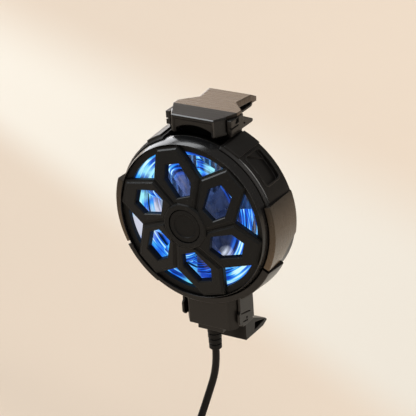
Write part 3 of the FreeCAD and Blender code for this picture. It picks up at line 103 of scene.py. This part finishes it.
# The housing's lip: (radius, y) corners of its trim, and the angles in degrees that it spans
LIP_CORNERS = [(31.39, -16.355), (31.617, -15.967), (31.1, -16.0)]
LIP_SPAN = (20, 66)
LIP_STEPS = 32

# Floor, in metres: its colour, how uneven that is and how painted shade darkens it to one side, and
# the colour of the painted band of sun across it, whose edges are lines (x, y, reach, softness)
FLOOR_SIZE = 12
FLOOR = (0.86, 0.722, 0.583)
FLOOR_LUMPS = 9
FLOOR_UNEVEN = 0.015
FADE_HEADING = (0.951, 0.308, 0)
FADE_REACH = (-0.28, 0.13)
FADE_LEVELS = (0.86, 1.0)
SUN_BAND = (0.88, 0.82, 0.72)
BAND_EDGES = [(-0.378, -0.926, -0.213, 0.045), (0.474, 0.880, 0.0775, 0.018)]

# Lamps as seen from the object: azimuth, elevation, width and height in degrees, radiance, colour
LAMP_DISTANCE = 3.0
LAMPS = {
    "key": (-72, 47, 32, 34, 4.9, (0.94, 0.97, 1.0)),
    "ridge": (-127, 55, 28, 24, 3.9, (0.96, 0.98, 1.0)),
    "back": (212, 20, 24, 22, 1.3, (1.0, 0.76, 0.56)),
    "rim": (230, 17, 26, 34, 3.8, (0.96, 0.97, 1.0)),
    "side": (77, 32, 9, 44, 3.6, (1.0, 0.97, 0.93)),
    "fill": (60, 58, 36, 36, 0.75, (1.0, 0.98, 0.95)),
}
ROOM_COLOUR = (1.0, 0.92, 0.83)
ROOM_STRENGTH = 0.22

# Sockets of the Mix node, whose numbers and colours have the same names
MIX_NUMBERS = (2, 3, 0)
MIX_COLOURS = (6, 7, 2)

# Plastics: lumps of noise per metre, and the colours of dust and of rubbed edges
CLOUDS = 70
GRAIN = 1900
SPECKS = 1500
WEAR = 260
DUST = (0.16, 0.15, 0.14)
RUBBED = (0.11, 0.105, 0.10)
BRUSHED = (60, 60, 1500)

# Shaded pieces, in metres of the part's frame
INNER_FACE_Y = (-0.0035, -0.0036)
# Pale blue painted on the cover's inner face for the ring's light
INNER_FACE_PAINTED_GLOW = (0.20, 0.24, 0.36)
FACET_NORMAL = (-0.245, -0.620, 0.745)
FACET_MATCH = (0.975, 0.99)
FACET_ROUGH = 0.08
# The grips' lower ends: heights where a painted reflection of the floor starts and is full, its colour, and
# its streaks
GRIP_REFLECTION_Z = (0.010, -0.014)
GRIP_PAINTED_REFLECTION = (0.13, 0.09, 0.055)
GRIP_LINES = (60, 900, 60)
CREST_Y = (-0.0064, -0.0061)
CREST_LINES = (60, 2400, 60)
# Plate colours: the slope before the crest darkened as painted shade, the level part behind it paled as
# painted light
PLATE_SLOPE_PAINTED_SHADE = ((0.004, 0.003, 0.002), (0.014, 0.010, 0.007))
PLATE_LEVEL_PAINTED_LIGHT = ((0.085, 0.062, 0.045), (0.115, 0.085, 0.063))

# Light inside the fan, in metres of the part's frame. Its circles have their own size at the light
# ring's front and widen with depth. Arcs are (turn along a circle, lumps per metre across it),
# fades are pairs of radii, and flares are (x, z, reach, colour).
RING_Y = -0.0175
LIGHT_SPREAD = 0.6
BROAD_ARCS = (1.5, 520)
THIN_ARCS = (1.9, 1650)
ARCS_IN = (0.0165, 0.0195)
ARCS_OUT = (0.0265, 0.030)
LIGHT_POOLS = 110
MIST_SCALE = (260, 90, 140)
MIST_TURN = (0.4, 0.2, 0.5)
HAZE_R = (0.0185, 0.0160)
HAZE_X = (0.004, -0.016)
HAZE_COLOURS = ((0.014, 0.022, 0.055), (0.10, 0.14, 0.33))
LIT_END_R = (0.0279, 0.0282)
LIGHT_STOPS = [(0.05, (0, 0, 0.004)), (0.22, (0.003, 0.018, 0.13)), (0.45, (0.006, 0.06, 0.55)),
               (0.64, (0.02, 0.19, 0.86)), (0.82, (0.06, 0.50, 0.92)), (1.0, (0.62, 0.95, 0.96))]
BLADE_STOPS = [(0.38, (0.02, 0.03, 0.07)), (0.5, (0.06, 0.08, 0.16)), (0.62, (0.17, 0.20, 0.30))]
CHIP_STOPS = [(0.3, (0.5, 0.85, 1.0)), (0.7, (0.95, 1.0, 1.0))]
FLARES = [
    (-0.0196, 0.0129, 0.0040, (0.40, 0.88, 0.96)), (0.0085, 0.0202, 0.0050, (0.34, 0.84, 0.95)),
    (0.0112, -0.0121, 0.0030, (0.66, 0.72, 0.84)), (-0.0262, -0.0090, 0.0085, (0.60, 0.62, 0.72)),
    (-0.0240, 0.0032, 0.0034, (0.35, 0.88, 0.96)), (-0.0045, -0.0255, 0.0040, (0.16, 0.66, 0.92)),
]


def direction(azimuth, elevation):
    """Unit vector from the object towards a viewer; azimuth 0 is the front."""
    a, e = math.radians(azimuth), math.radians(elevation)
    return Vector((math.sin(a) * math.cos(e), -math.cos(a) * math.cos(e), math.sin(e)))


def add_object(name, data):
    """New object with this data, in the scene."""
    made = bpy.data.objects.new(name, data)
    SCENE.collection.objects.link(made)
    return made


def make_camera():
    """Camera that repeats the photograph's view."""
    back = direction(CAMERA_AZIMUTH, CAMERA_ELEVATION)
    level = Vector((math.cos(math.radians(CAMERA_AZIMUTH)), math.sin(math.radians(CAMERA_AZIMUTH)), 0))
    rise = back.cross(level)
    c, s = math.cos(math.radians(CAMERA_ROLL)), math.sin(math.radians(CAMERA_ROLL))
    right = level * c + rise * s
    up = rise * c - level * s
    place = RIM_CENTRE + right * LOOK_RIGHT + up * LOOK_UP + back * CAMERA_DISTANCE
    data = bpy.data.cameras.new("camera")
    data.lens = CAMERA_LENS
    data.sensor_width = CAMERA_SENSOR
    data.clip_end = CAMERA_FAR_END
    camera = add_object("camera", data)
    camera.matrix_world = Matrix((
        (right.x, up.x, back.x, place.x),
        (right.y, up.y, back.y, place.y),
        (right.z, up.z, back.z, place.z),
        (0, 0, 0, 1),
    ))
    SCENE.camera = camera


def tube(name, kind, points, radius, roundness):
    """Round tube along a spline through points, in millimetres, and that spline."""
    curve = bpy.data.curves.new(name, "CURVE")
    curve.dimensions = "3D"
    spline = curve.splines.new(kind)
    spline.points.add(len(points) - 1)
    for point, p in zip(spline.points, points):
        point.co = (p[0] * MM, p[1] * MM, p[2] * MM, 1)
        point.radius = radius * MM
    curve.bevel_depth = 1
    curve.bevel_resolution = roundness
    curve.use_fill_caps = True
    return add_object(name, curve), spline


def cable_points():
    """Control points of the whole cable: free stretch, coil and the lead to the plug.

    Each layer of the coil winds inwards or outwards, then drops to the next one while it crosses over.
    """
    points = [Vector(p) for p in CABLE_ROUTE]
    landing = points[-1]
    heading = (landing - points[-2]).normalized()
    centre = landing + Vector((-heading.y, heading.x, 0)) * COIL_OUT_R
    first = math.atan2(heading.y, heading.x) - math.pi / 2
    span = LAYER_LOOPS + CROSS_STEP
    layer_turns = LAYER_LOOPS + CROSS_TURN
    total = layer_turns * COIL_LAYERS - CROSS_TURN
    for k in range(1, int(total * POINTS_PER_TURN) + 1):
        turns = k / POINTS_PER_TURN
        layer = min(int(turns / layer_turns), COIL_LAYERS - 1)
        within = turns - layer * layer_turns
        over = max(0, within - LAYER_LOOPS) / CROSS_TURN
        swing = CROSS_SWING * math.sin(math.pi * over)
        step = min(within, LAYER_LOOPS) + over * CROSS_STEP + swing
        radius = COIL_OUT_R - COIL_PITCH * (step if layer % 2 == 0 else span - step)
        drop = layer + (1 - math.cos(math.pi * over)) / 2
        a = first + turns * 2 * math.pi
        points.append(Vector((centre.x + radius * math.cos(a), centre.y + radius * math.sin(a),
                              landing.z - drop * COIL_PITCH)))
    out = Vector((-math.sin(a), math.cos(a), 0))
    rise = Vector((0, 0, PLUG_RISE))
    end = points[-1]
    points += [end + out * LEAD_RUN, end + out * 2 * LEAD_RUN + rise, end + out * 3 * LEAD_RUN + rise]
    return points


def make_cable():
    """The cable as one smooth spline from the strain relief to the plug."""
    cable, spline = tube("cable", "NURBS", cable_points(), CABLE_D / 2, 6)
    spline.order_u = 3
    spline.use_endpoint_u = True
    spline.resolution_u = 8
    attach(cable, "cooler")
    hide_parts("power_cable", "cable_coil", "plug_lead")
    cable.data.materials.append(CABLE)


def mesh_object(name, shape):
    """New object from a bmesh, which is freed."""
    bmesh.ops.recalc_face_normals(shape, faces=shape.faces)
    mesh = bpy.data.meshes.new(name)
    shape.to_mesh(mesh)
    shape.free()
    return add_object(name, mesh)


def lathed(name, profile):
    """Smooth ring turned about the fan axis from (radius, y) points, in millimetres."""
    shape = bmesh.new()
    rings = []
    for k in range(ROUND_STEPS):
        c, s = math.cos(2 * math.pi * k / ROUND_STEPS), math.sin(2 * math.pi * k / ROUND_STEPS)
        rings.append([shape.verts.new((r * c * MM, y * MM, r * s * MM)) for r, y in profile])
    for k, ring in enumerate(rings):
        after = rings[(k + 1) % ROUND_STEPS]
        for j in range(len(profile)):
            i = (j + 1) % len(profile)
            shape.faces.new((ring[j], ring[i], after[i], after[j]))
    made = mesh_object(name, shape)
    for face in made.data.polygons:
        face.use_smooth = True
    made.data.set_sharp_from_angle(angle=math.radians(SHARP_ANGLE))
    return made


def make_bezel():
    """The bezel with the sloping crown that the photograph shows, on the CAD ring's place."""
    profile = [(BEZEL_IN_R, BEZEL_FRONT_Y + BEZEL_BEVEL)]
    for k in range(BEZEL_STEPS + 1):
        share = k / BEZEL_STEPS
        profile.append((BEZEL_R - BEZEL_FALL * (1 - share) ** BEZEL_POWER,
                        BEZEL_FRONT_Y + (BEZEL_END_Y - BEZEL_FRONT_Y) * share))
    profile += [(BEZEL_LOW_R, BEZEL_END_Y), (BEZEL_LOW_R, BEZEL_SEAT_Y), (BEZEL_IN_R, BEZEL_SEAT_Y)]
    bezel = lathed("bezel", profile)
    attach(bezel, "cooler")
    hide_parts("bezel_ring")
    bezel.data.materials.append(BEZEL)


def dress_trim(trim, body):
    """A trim rides on its body and has the bright black finish."""
    trim.data.materials.append(TRIM)
    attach(trim, body)


def chamfer(name, rows):
    """Prism between three rows of points (lower edge, upper edge, buried edge), in millimetres."""
    shape = bmesh.new()
    verts = [[shape.verts.new([v * MM for v in p]) for p in row] for row in rows]
    for k in range(len(rows[0]) - 1):
        for i in range(3):
            j = (i + 1) % 3
            shape.faces.new((verts[i][k], verts[i][k + 1], verts[j][k + 1], verts[j][k]))
    for k in (0, -1):
        shape.faces.new([row[k] for row in verts])
    return mesh_object(name, shape)


def make_trims():
    """Edges that catch the light: the clamp head's front and sides, and the housing's lip."""
    head = [[(x + away_x * out, y + away_y * out, HEAD_Z[1] + up)
             for (x, y), (away_x, away_y) in zip(HEAD_CORNERS, HEAD_WAYS_OUT)] for out, up in HEAD_ROWS]
    dress_trim(chamfer("head_edge", head), "top_clamp")
    for side, name in ((-1, "head_side_left"), (1, "head_side_right")):
        x, y = side * (HEAD_HALF - SIDE_SINK), HEAD_Y + SIDE_SINK
        path = [(x, y, HEAD_Z[0] + SIDE_STOPS[0]), (x, y, HEAD_Z[1] - SIDE_STOPS[1])]
        dress_trim(tube(name, "POLY", path, SIDE_R, 4)[0], "top_clamp")
    start, end = LIP_SPAN
    angles = [math.radians(start + (end - start) * k / LIP_STEPS) for k in range(LIP_STEPS + 1)]
    lip = [[(r * math.cos(a), y, r * math.sin(a)) for a in angles] for r, y in LIP_CORNERS]
    dress_trim(chamfer("lip_edge", lip), "cooler")


def make_node(tree, kind, inputs=None, **settings):
    """New shader node; an input takes a number, a colour or another node's output."""
    made = tree.nodes.new("ShaderNode" + kind)
    for name, value in settings.items():
        setattr(made, name, value)
    for name, value in (inputs or {}).items():
        if isinstance(value, bpy.types.NodeSocket):
            tree.links.new(value, made.inputs[name])
        else:
            made.inputs[name].default_value = value
    return made


def material(name, **settings):
    """New node material and its Principled shader; inputs are set by name, such as emission_strength."""
    mat = bpy.data.materials.new(name)
    mat.use_nodes = True
    shader = mat.node_tree.nodes["Principled BSDF"]
    for key, value in settings.items():
        shader.inputs[key.replace("_", " ").title().replace("Ior", "IOR")].default_value = value
    return mat, mat.node_tree, shader


def plug_in(tree, shader, sockets):
    """Link outputs to the shader's inputs by name."""
    for name, socket in sockets.items():
        tree.links.new(socket, shader.inputs[name])


def object_coords(tree):
    """The piece's own coordinates, in metres."""
    return make_node(tree, "TexCoord").outputs["Object"]


def parts(tree, where):
    """X, Y and Z of a vector."""
    return make_node(tree, "SeparateXYZ", {"Vector": where}).outputs


def noise(tree, where, scale, detail, rough=0.5):
    """Grey noise with this many lumps per metre."""
    return make_node(tree, "TexNoise", {"Vector": where, "Scale": scale, "Detail": detail,
                                        "Roughness": rough}).outputs["Fac"]


def stretched(tree, where, scale, turn=(0, 0, 0)):
    """Coordinates scaled along their axes."""
    return make_node(tree, "Mapping", {"Vector": where, "Scale": scale, "Rotation": turn}).outputs["Vector"]


def spread(tree, value, low, high, to_low=0.0, to_high=1.0, how="LINEAR"):
    """Value moved from one range into another, and kept inside it."""
    return make_node(tree, "MapRange", {"Value": value, "From Min": low, "From Max": high, "To Min": to_low,
                                        "To Max": to_high}, interpolation_type=how).outputs["Result"]


def calc(tree, how, first, *others):
    """Sum, product or other simple calculation, from left to right."""
    for other in others:
        first = make_node(tree, "Math", {0: first, 1: other}, operation=how).outputs["Value"]
    return first


def measure(tree, how, a, b=(0, 0, 0)):
    """Length, distance or dot product of vectors."""
    return make_node(tree, "VectorMath", {0: a, 1: b}, operation=how).outputs["Value"]


def scaled(tree, vector, factor):
    """Vector or colour times a number."""
    return make_node(tree, "VectorMath", {0: vector, "Scale": factor}, operation="SCALE").outputs["Vector"]


def blend_colours(tree, factor, a, b):
    """Mix of two colours."""
    first, second, result = MIX_COLOURS
    a, b = (v if isinstance(v, bpy.types.NodeSocket) else (*v, 1) for v in (a, b))
    return make_node(tree, "Mix", {"Factor": factor, first: a, second: b}, data_type="RGBA").outputs[result]


def blend_numbers(tree, factor, a, b):
    """Mix of two numbers."""
    first, second, result = MIX_NUMBERS
    return make_node(tree, "Mix", {"Factor": factor, first: a, second: b}).outputs[result]


def ramp(tree, value, stops):
    """Colour ramp through (position, colour) stops."""
    made = make_node(tree, "ValToRGB", {"Fac": value})
    band = made.color_ramp
    while len(band.elements) < len(stops):
        band.elements.new(0.5)
    for element, (position, colour) in zip(band.elements, stops):
        element.position = position
        element.color = (*colour, 1)
    return made.outputs["Color"]


def bumped(tree, strength, distance, height, normal):
    """Normal with fine relief, whose distance is in metres."""
    return make_node(tree, "Bump", {"Strength": strength, "Distance": distance, "Height": height,
                                    "Normal": normal}).outputs["Normal"]


def worn_edges(tree, radius, patches):
    """Rounded normal at sharp edges, and how far each edge is rubbed."""
    rounded = make_node(tree, "Bevel", {"Radius": radius}, samples=6).outputs["Normal"]
    flat = make_node(tree, "NewGeometry").outputs["Normal"]
    paler_share = spread(tree, measure(tree, "DOT_PRODUCT", rounded, flat), 0.98, 0.7)
    return rounded, calc(tree, "MULTIPLY", paler_share, spread(tree, patches, 0.4, 0.7))


def satin_plastic(name, colour, rough, specular=0.5, grain=0.12, streaks=None, edge=0.00025, shade=None,
                  wear=0.35, uneven=1.0, tint=(1, 1, 1), lit=None):
    """Moulded plastic: fine grain, cloudy gloss, rubbed edges and a little dust.

    Shade changes its colour and gloss by place, and lit gives the light that it sends out.
    """
    mat, tree, shader = material(name, specular_ior_level=specular, specular_tint=(*tint, 1))
    where = object_coords(tree)
    clouds = noise(tree, where, CLOUDS, 4, 0.6)
    fine = noise(tree, where, GRAIN, 4, 0.7)
    normal, paler_share = worn_edges(tree, edge, noise(tree, where, WEAR, 3))
    specks = spread(tree, noise(tree, where, SPECKS, 2), 0.68, 0.74)
    mottle = calc(tree, "ADD", clouds, spread(tree, fine, 0.35, 0.65, -0.25, 0.25))
    base = blend_colours(tree, mottle, [c * 0.65 for c in colour], [c * 1.35 for c in colour])
    base = blend_colours(tree, calc(tree, "MULTIPLY", specks, 0.18), base, DUST)
    base = blend_colours(tree, calc(tree, "MULTIPLY", paler_share, wear), base, RUBBED)
    gloss = spread(tree, clouds, 0.3, 0.7, rough - 0.05 * uneven, rough + 0.07 * uneven)
    height = fine
    if streaks:
        lines = noise(tree, stretched(tree, where, streaks), 1, 3, 0.6)
        gloss = calc(tree, "ADD", gloss, spread(tree, lines, 0.35, 0.65, -0.07, 0.07))
        height = calc(tree, "ADD", fine, lines)
    gloss = calc(tree, "ADD", gloss, calc(tree, "MULTIPLY", fine, 0.08))
    if shade:
        base, gloss = shade(tree, where, base, gloss)
    bump = bumped(tree, grain, 0.0001, height, normal)
    plug_in(tree, shader, {"Base Color": base, "Roughness": gloss, "Normal": bump})
    if lit:
        shader.inputs["Emission Strength"].default_value = 1
        plug_in(tree, shader, {"Emission Color": lit(tree, where)})
    return mat


def metal(name, colour, rough):
    """Metal with brushed lines and dull patches."""
    mat, tree, shader = material(name, metallic=1.0)
    where = object_coords(tree)
    lines = noise(tree, stretched(tree, where, BRUSHED), 1, 3)
    patches = noise(tree, where, 180, 4, 0.6)
    base = blend_colours(tree, patches, [c * 0.82 for c in colour], colour)
    gloss = calc(tree, "ADD", spread(tree, lines, 0.3, 0.7, rough - 0.08, rough + 0.08),
                 spread(tree, patches, 0.4, 0.8, 0, 0.1))
    normal, _ = worn_edges(tree, 0.0001, patches)
    bump = bumped(tree, 0.1, 0.00005, lines, normal)
    plug_in(tree, shader, {"Base Color": base, "Roughness": gloss, "Normal": bump})
    return mat


def round_axis(tree, where, along, across):
    """Coordinates about the fan axis for arcs of light, with their radius and the plain (x, z).

    They change slowly along a circle and fast across it. The circles widen with depth, as the
    ring's light spreads into the fan.
    """
    own = parts(tree, where)
    plane = make_node(tree, "CombineXYZ", {"X": own["X"], "Z": own["Z"]}).outputs["Vector"]
    deep = calc(tree, "MULTIPLY", calc(tree, "SUBTRACT", own["Y"], RING_Y), LIGHT_SPREAD)
    radius = calc(tree, "ADD", measure(tree, "LENGTH", plane), deep)
    heading = make_node(tree, "VectorMath", {0: plane}, operation="NORMALIZE").outputs["Vector"]
    slow = scaled(tree, heading, along)
    fast = make_node(tree, "CombineXYZ", {"Y": calc(tree, "MULTIPLY", radius, across)}).outputs["Vector"]
    turned = make_node(tree, "VectorMath", {0: slow, 1: fast}, operation="ADD").outputs["Vector"]
    return turned, radius, plane


def inner_light(tree, where):
    """Blue light caught in the clear plastics: arcs round the rim, haze by the hub, a few flares."""
    broad = noise(tree, round_axis(tree, where, *BROAD_ARCS)[0], 1, 1)
    turned, radius, plane = round_axis(tree, where, *THIN_ARCS)
    thin = noise(tree, turned, 1, 1)
    arcs = calc(tree, "ADD", spread(tree, broad, 0.34, 0.66, 0, 0.5),
                spread(tree, thin, 0.40, 0.60, 0, 0.6))
    pools = spread(tree, noise(tree, where, LIGHT_POOLS, 1), 0.3, 0.7, -0.2, 0.2)
    ends = calc(tree, "ADD", spread(tree, radius, *ARCS_IN, -0.5, 0.02),
                spread(tree, radius, *ARCS_OUT, 0, -0.25))
    lit = ramp(tree, calc(tree, "ADD", arcs, pools, ends), LIGHT_STOPS)
    mist = noise(tree, stretched(tree, where, MIST_SCALE, MIST_TURN), 1, 4, 0.65)
    pale = blend_colours(tree, spread(tree, parts(tree, plane)["X"], *HAZE_X), *HAZE_COLOURS)
    haze = scaled(tree, pale, spread(tree, mist, 0.3, 0.7, 0.1, 2.0))
    lit = blend_colours(tree, spread(tree, radius, *HAZE_R), lit, haze)
    for x, z, reach, colour in FLARES:
        near = spread(tree, measure(tree, "DISTANCE", plane, (x, 0, z)), reach, 0)
        mask = calc(tree, "MULTIPLY", near, spread(tree, thin, 0.3, 0.6, 0.5, 1.4),
                    spread(tree, mist, 0.35, 0.55, 0.6, 1.3))
        lit = blend_colours(tree, mask, lit, colour)
    return blend_colours(tree, spread(tree, measure(tree, "LENGTH", plane), *LIT_END_R), lit, (0, 0, 0))


def glow(name, stops, strength, scale):
    """Small light source, brighter in places."""
    mat, tree, shader = material(name, emission_strength=strength, roughness=0.22)
    level = noise(tree, object_coords(tree), scale, 2)
    colour = ramp(tree, level, stops)
    plug_in(tree, shader, {"Emission Color": colour, "Base Color": colour})
    return mat


def blade_plastic(name):
    """Thin smoky blue plastic that carries the light of the ring."""
    mat, tree, shader = material(name, roughness=0.16, emission_strength=1.0, transmission_weight=0.3)
    where = object_coords(tree)
    mist = noise(tree, where, 150, 3, 0.6)
    normal, _ = worn_edges(tree, 0.0002, mist)
    plug_in(tree, shader, {"Base Color": ramp(tree, mist, BLADE_STOPS), "Normal": normal,
                           "Emission Color": inner_light(tree, where)})
    return mat


def inner_face(tree, where):
    """1 on the cover's inner face, 0 outside."""
    return spread(tree, parts(tree, where)["Y"], *INNER_FACE_Y)


def cover_shade(tree, where, base, gloss):
    """Inner face painted pale blue for the ring's light, black outside."""
    return blend_colours(tree, inner_face(tree, where), base, INNER_FACE_PAINTED_GLOW), gloss


def cover_light(tree, where):
    """Light of the ring on the cover's inner face only."""
    return blend_colours(tree, inner_face(tree, where), (0, 0, 0), inner_light(tree, where))


def grille_shade(tree, where, base, gloss):
    """Polished facets where the petals' openings face up to the left."""
    facing = make_node(tree, "NewGeometry").outputs["Normal"]
    polished = spread(tree, measure(tree, "DOT_PRODUCT", facing, FACET_NORMAL), *FACET_MATCH)
    return base, blend_numbers(tree, polished, gloss, FACET_ROUGH)


def grip_shade(tree, where, base, gloss):
    """Side grips paler towards their lower ends, a painted reflection of the floor, and smoother there."""
    low = spread(tree, parts(tree, where)["Z"], *GRIP_REFLECTION_Z)
    lines = noise(tree, stretched(tree, where, GRIP_LINES), 1, 3)
    paler_share = calc(tree, "MULTIPLY", low, spread(tree, lines, 0.3, 0.7, 0.6, 1))
    return (blend_colours(tree, paler_share, base, GRIP_PAINTED_REFLECTION),
            calc(tree, "ADD", gloss, spread(tree, low, 0, 1, 0.14, 0)))


def plate_shade(tree, where, base, gloss):
    """Paler behind the plate's crest as painted light and smoother, darker on the slope before it as
    painted shade, with fine lines along the crest.
    """
    rear = spread(tree, parts(tree, where)["Y"], *CREST_Y)
    lines = noise(tree, stretched(tree, where, CREST_LINES), 1, 3)
    slope = blend_colours(tree, lines, *PLATE_SLOPE_PAINTED_SHADE)
    level = blend_colours(tree, noise(tree, where, 400, 3), *PLATE_LEVEL_PAINTED_LIGHT)
    rough = calc(tree, "ADD", spread(tree, rear, 0, 1, 0.66, 0.24),
                 spread(tree, lines, 0.3, 0.7, -0.05, 0.1))
    return blend_colours(tree, rear, slope, level), rough


BLACK = satin_plastic("black_satin", (0.0085, 0.0078, 0.0072), 0.3, specular=0.38, edge=0.0004)
COVER = satin_plastic("cover_satin", (0.0085, 0.0078, 0.0072), 0.3, specular=0.38, edge=0.0004,
                      shade=cover_shade, lit=cover_light)
JAW = satin_plastic("jaw_satin", (0.0075, 0.007, 0.0065), 0.34, specular=0.25, edge=0.0004)
BEZEL = satin_plastic("bezel_satin", (0.009, 0.009, 0.0095), 0.14, specular=0.62, grain=0.03,
                      edge=0.0003, uneven=0.3)
TRIM = satin_plastic("bead_gloss", (0.010, 0.010, 0.010), 0.13, specular=0.7, grain=0.02,
                     edge=0.0001, uneven=0.2)
GRILLE = satin_plastic("grille_satin", (0.0080, 0.0088, 0.0092), 0.44, specular=0.2, grain=0.2,
                       edge=0.00015, shade=grille_shade)
CAP = satin_plastic("cap_satin", (0.0080, 0.0086, 0.0090), 0.42, specular=0.15, grain=0.2,
                    edge=0.00012, wear=0)
PLATE = satin_plastic("plate_satin", (0.03, 0.026, 0.022), 0.4, shade=plate_shade, edge=0.0007,
                      tint=(1.0, 0.93, 0.86))
GRIP = satin_plastic("grip_satin", (0.009, 0.008, 0.007), 0.15, specular=0.65, streaks=(400, 2600, 120),
                     tint=(1.0, 0.88, 0.74), shade=grip_shade)
CABLE = satin_plastic("cable_jacket", (0.006, 0.006, 0.006), 0.32, specular=0.2, grain=0.25, edge=0.0001)
RELIEF = satin_plastic("relief_rubber", (0.006, 0.006, 0.006), 0.45, specular=0.2, grain=0.3)
PAD = satin_plastic("pad_rubber", (0.045, 0.045, 0.045), 0.62, grain=0.35)
BOARD = satin_plastic("solder_mask", (0.006, 0.05, 0.028), 0.3, wear=0)
CERAMIC = satin_plastic("ceramic", (0.72, 0.72, 0.69), 0.6, wear=0)
TONGUE = satin_plastic("tongue_plastic", (0.6, 0.6, 0.58), 0.45, wear=0)
STRAP = satin_plastic("tie_weave", (0.016, 0.016, 0.016), 0.75, grain=0.9, streaks=(2500, 2500, 500))
MAGNET = satin_plastic("magnet", (0.03, 0.03, 0.035), 0.55)
ALUMINIUM = metal("aluminium", (0.78, 0.79, 0.80), 0.34)
STEEL = metal("steel", (0.56, 0.56, 0.58), 0.32)
NICKEL = metal("nickel", (0.72, 0.71, 0.69), 0.2)
BRONZE = metal("bronze", (0.5, 0.34, 0.18), 0.4)
LIGHT = satin_plastic("lit_diffuser", (0.03, 0.06, 0.14), 0.2, wear=0, lit=inner_light)
CHIP = glow("lit_chip", CHIP_STOPS, 2.0, 900)
BLADE = blade_plastic("blade_plastic")
SMOKE = satin_plastic("smoky_plastic", (0.14, 0.17, 0.26), 0.3, wear=0, lit=inner_light)

# Finish of each CAD node; the others are plain black
FINISH = {
    "front_grille": GRILLE, "hub_cap": CAP, "bezel_ring": BEZEL, "top_plate": PLATE,
    "rear_cover": COVER, "bottom_jaw": JAW, "side_grip_right": GRIP, "side_grip_left": GRIP,
    "silicone_pad": PAD, "cold_plate": ALUMINIUM, "heat_sink": ALUMINIUM, "peltier_module": CERAMIC,
    "sleeve_bearing": BRONZE, "stator": STEEL, "magnet_ring": MAGNET, "fan_shaft": STEEL,
    "fan_rotor": BLADE, "fan_frame": SMOKE, "light_ring": LIGHT, "led_board": BOARD, "leds": CHIP,
    "rear_screws": STEEL, "block_screws": STEEL, "return_springs": STEEL, "control_board": BOARD,
    "strain_relief": RELIEF, "cable_tie": STRAP, "plug_body": CABLE, "plug_shell": NICKEL,
    "plug_tongue": TONGUE,
}


def dress_nodes():
    """Every CAD node gets its finish."""
    for name, node in NODES.items():
        node.data.materials.clear()
        node.data.materials.append(FINISH.get(name, BLACK))


def make_floor():
    """Pale floor under the coil, with painted shade a little darker to one side and a soft painted band of
    sun across it.
    """
    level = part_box("cable_tie")[0].z
    bpy.ops.mesh.primitive_plane_add(size=FLOOR_SIZE, location=(0, 0, level))
    floor = bpy.context.object
    floor.name = "floor"
    mat, tree, shader = material("floor_paint", roughness=0.85, specular_ior_level=0.2)
    where = object_coords(tree)
    sides = [spread(tree, measure(tree, "DOT_PRODUCT", where, (x, y, 0)), reach - soft, reach + soft,
                    how="SMOOTHSTEP") for x, y, reach, soft in BAND_EDGES]
    in_sun = calc(tree, "MULTIPLY", *sides)
    mottle = noise(tree, where, FLOOR_LUMPS, 3)
    paint = blend_colours(tree, mottle, [c * (1 - FLOOR_UNEVEN) for c in FLOOR],
                          [c * (1 + FLOOR_UNEVEN) for c in FLOOR])
    # Painted shade: the floor darkens towards one side
    across = measure(tree, "DOT_PRODUCT", where, FADE_HEADING)
    paint = scaled(tree, paint, spread(tree, across, *FADE_REACH, *FADE_LEVELS, how="SMOOTHSTEP"))
    plug_in(tree, shader, {"Base Color": blend_colours(tree, in_sun, paint, SUN_BAND)})
    floor.data.materials.append(mat)


def make_lamp(name, azimuth, elevation, wide, high, radiance, colour):
    """Soft rectangular lamp that spans these angles as seen from the object."""
    size = [2 * LAMP_DISTANCE * math.tan(math.radians(span / 2)) for span in (wide, high)]
    data = bpy.data.lights.new(name, "AREA")
    data.shape = "RECTANGLE"
    data.size, data.size_y = size
    data.energy = radiance * math.pi * size[0] * size[1]
    data.color = colour
    lamp = add_object(name, data)
    away = direction(azimuth, elevation)
    lamp.location = RIM_CENTRE + away * LAMP_DISTANCE
    lamp.rotation_euler = away.to_track_quat("Z", "Y").to_euler()


def make_lights():
    """Lamps on the left and behind it, narrower or weaker ones on the right, and a dim warm room."""
    for name, settings in LAMPS.items():
        make_lamp(name, *settings)
    world = bpy.data.worlds.new("surround")
    SCENE.world = world
    world.use_nodes = True
    background = world.node_tree.nodes["Background"]
    background.inputs["Color"].default_value = (*ROOM_COLOUR, 1)
    background.inputs["Strength"].default_value = ROOM_STRENGTH


make_camera()
make_cable()
dress_nodes()
make_bezel()
make_trims()
make_floor()
make_lights()
SCENE.view_settings.view_transform = "Standard"
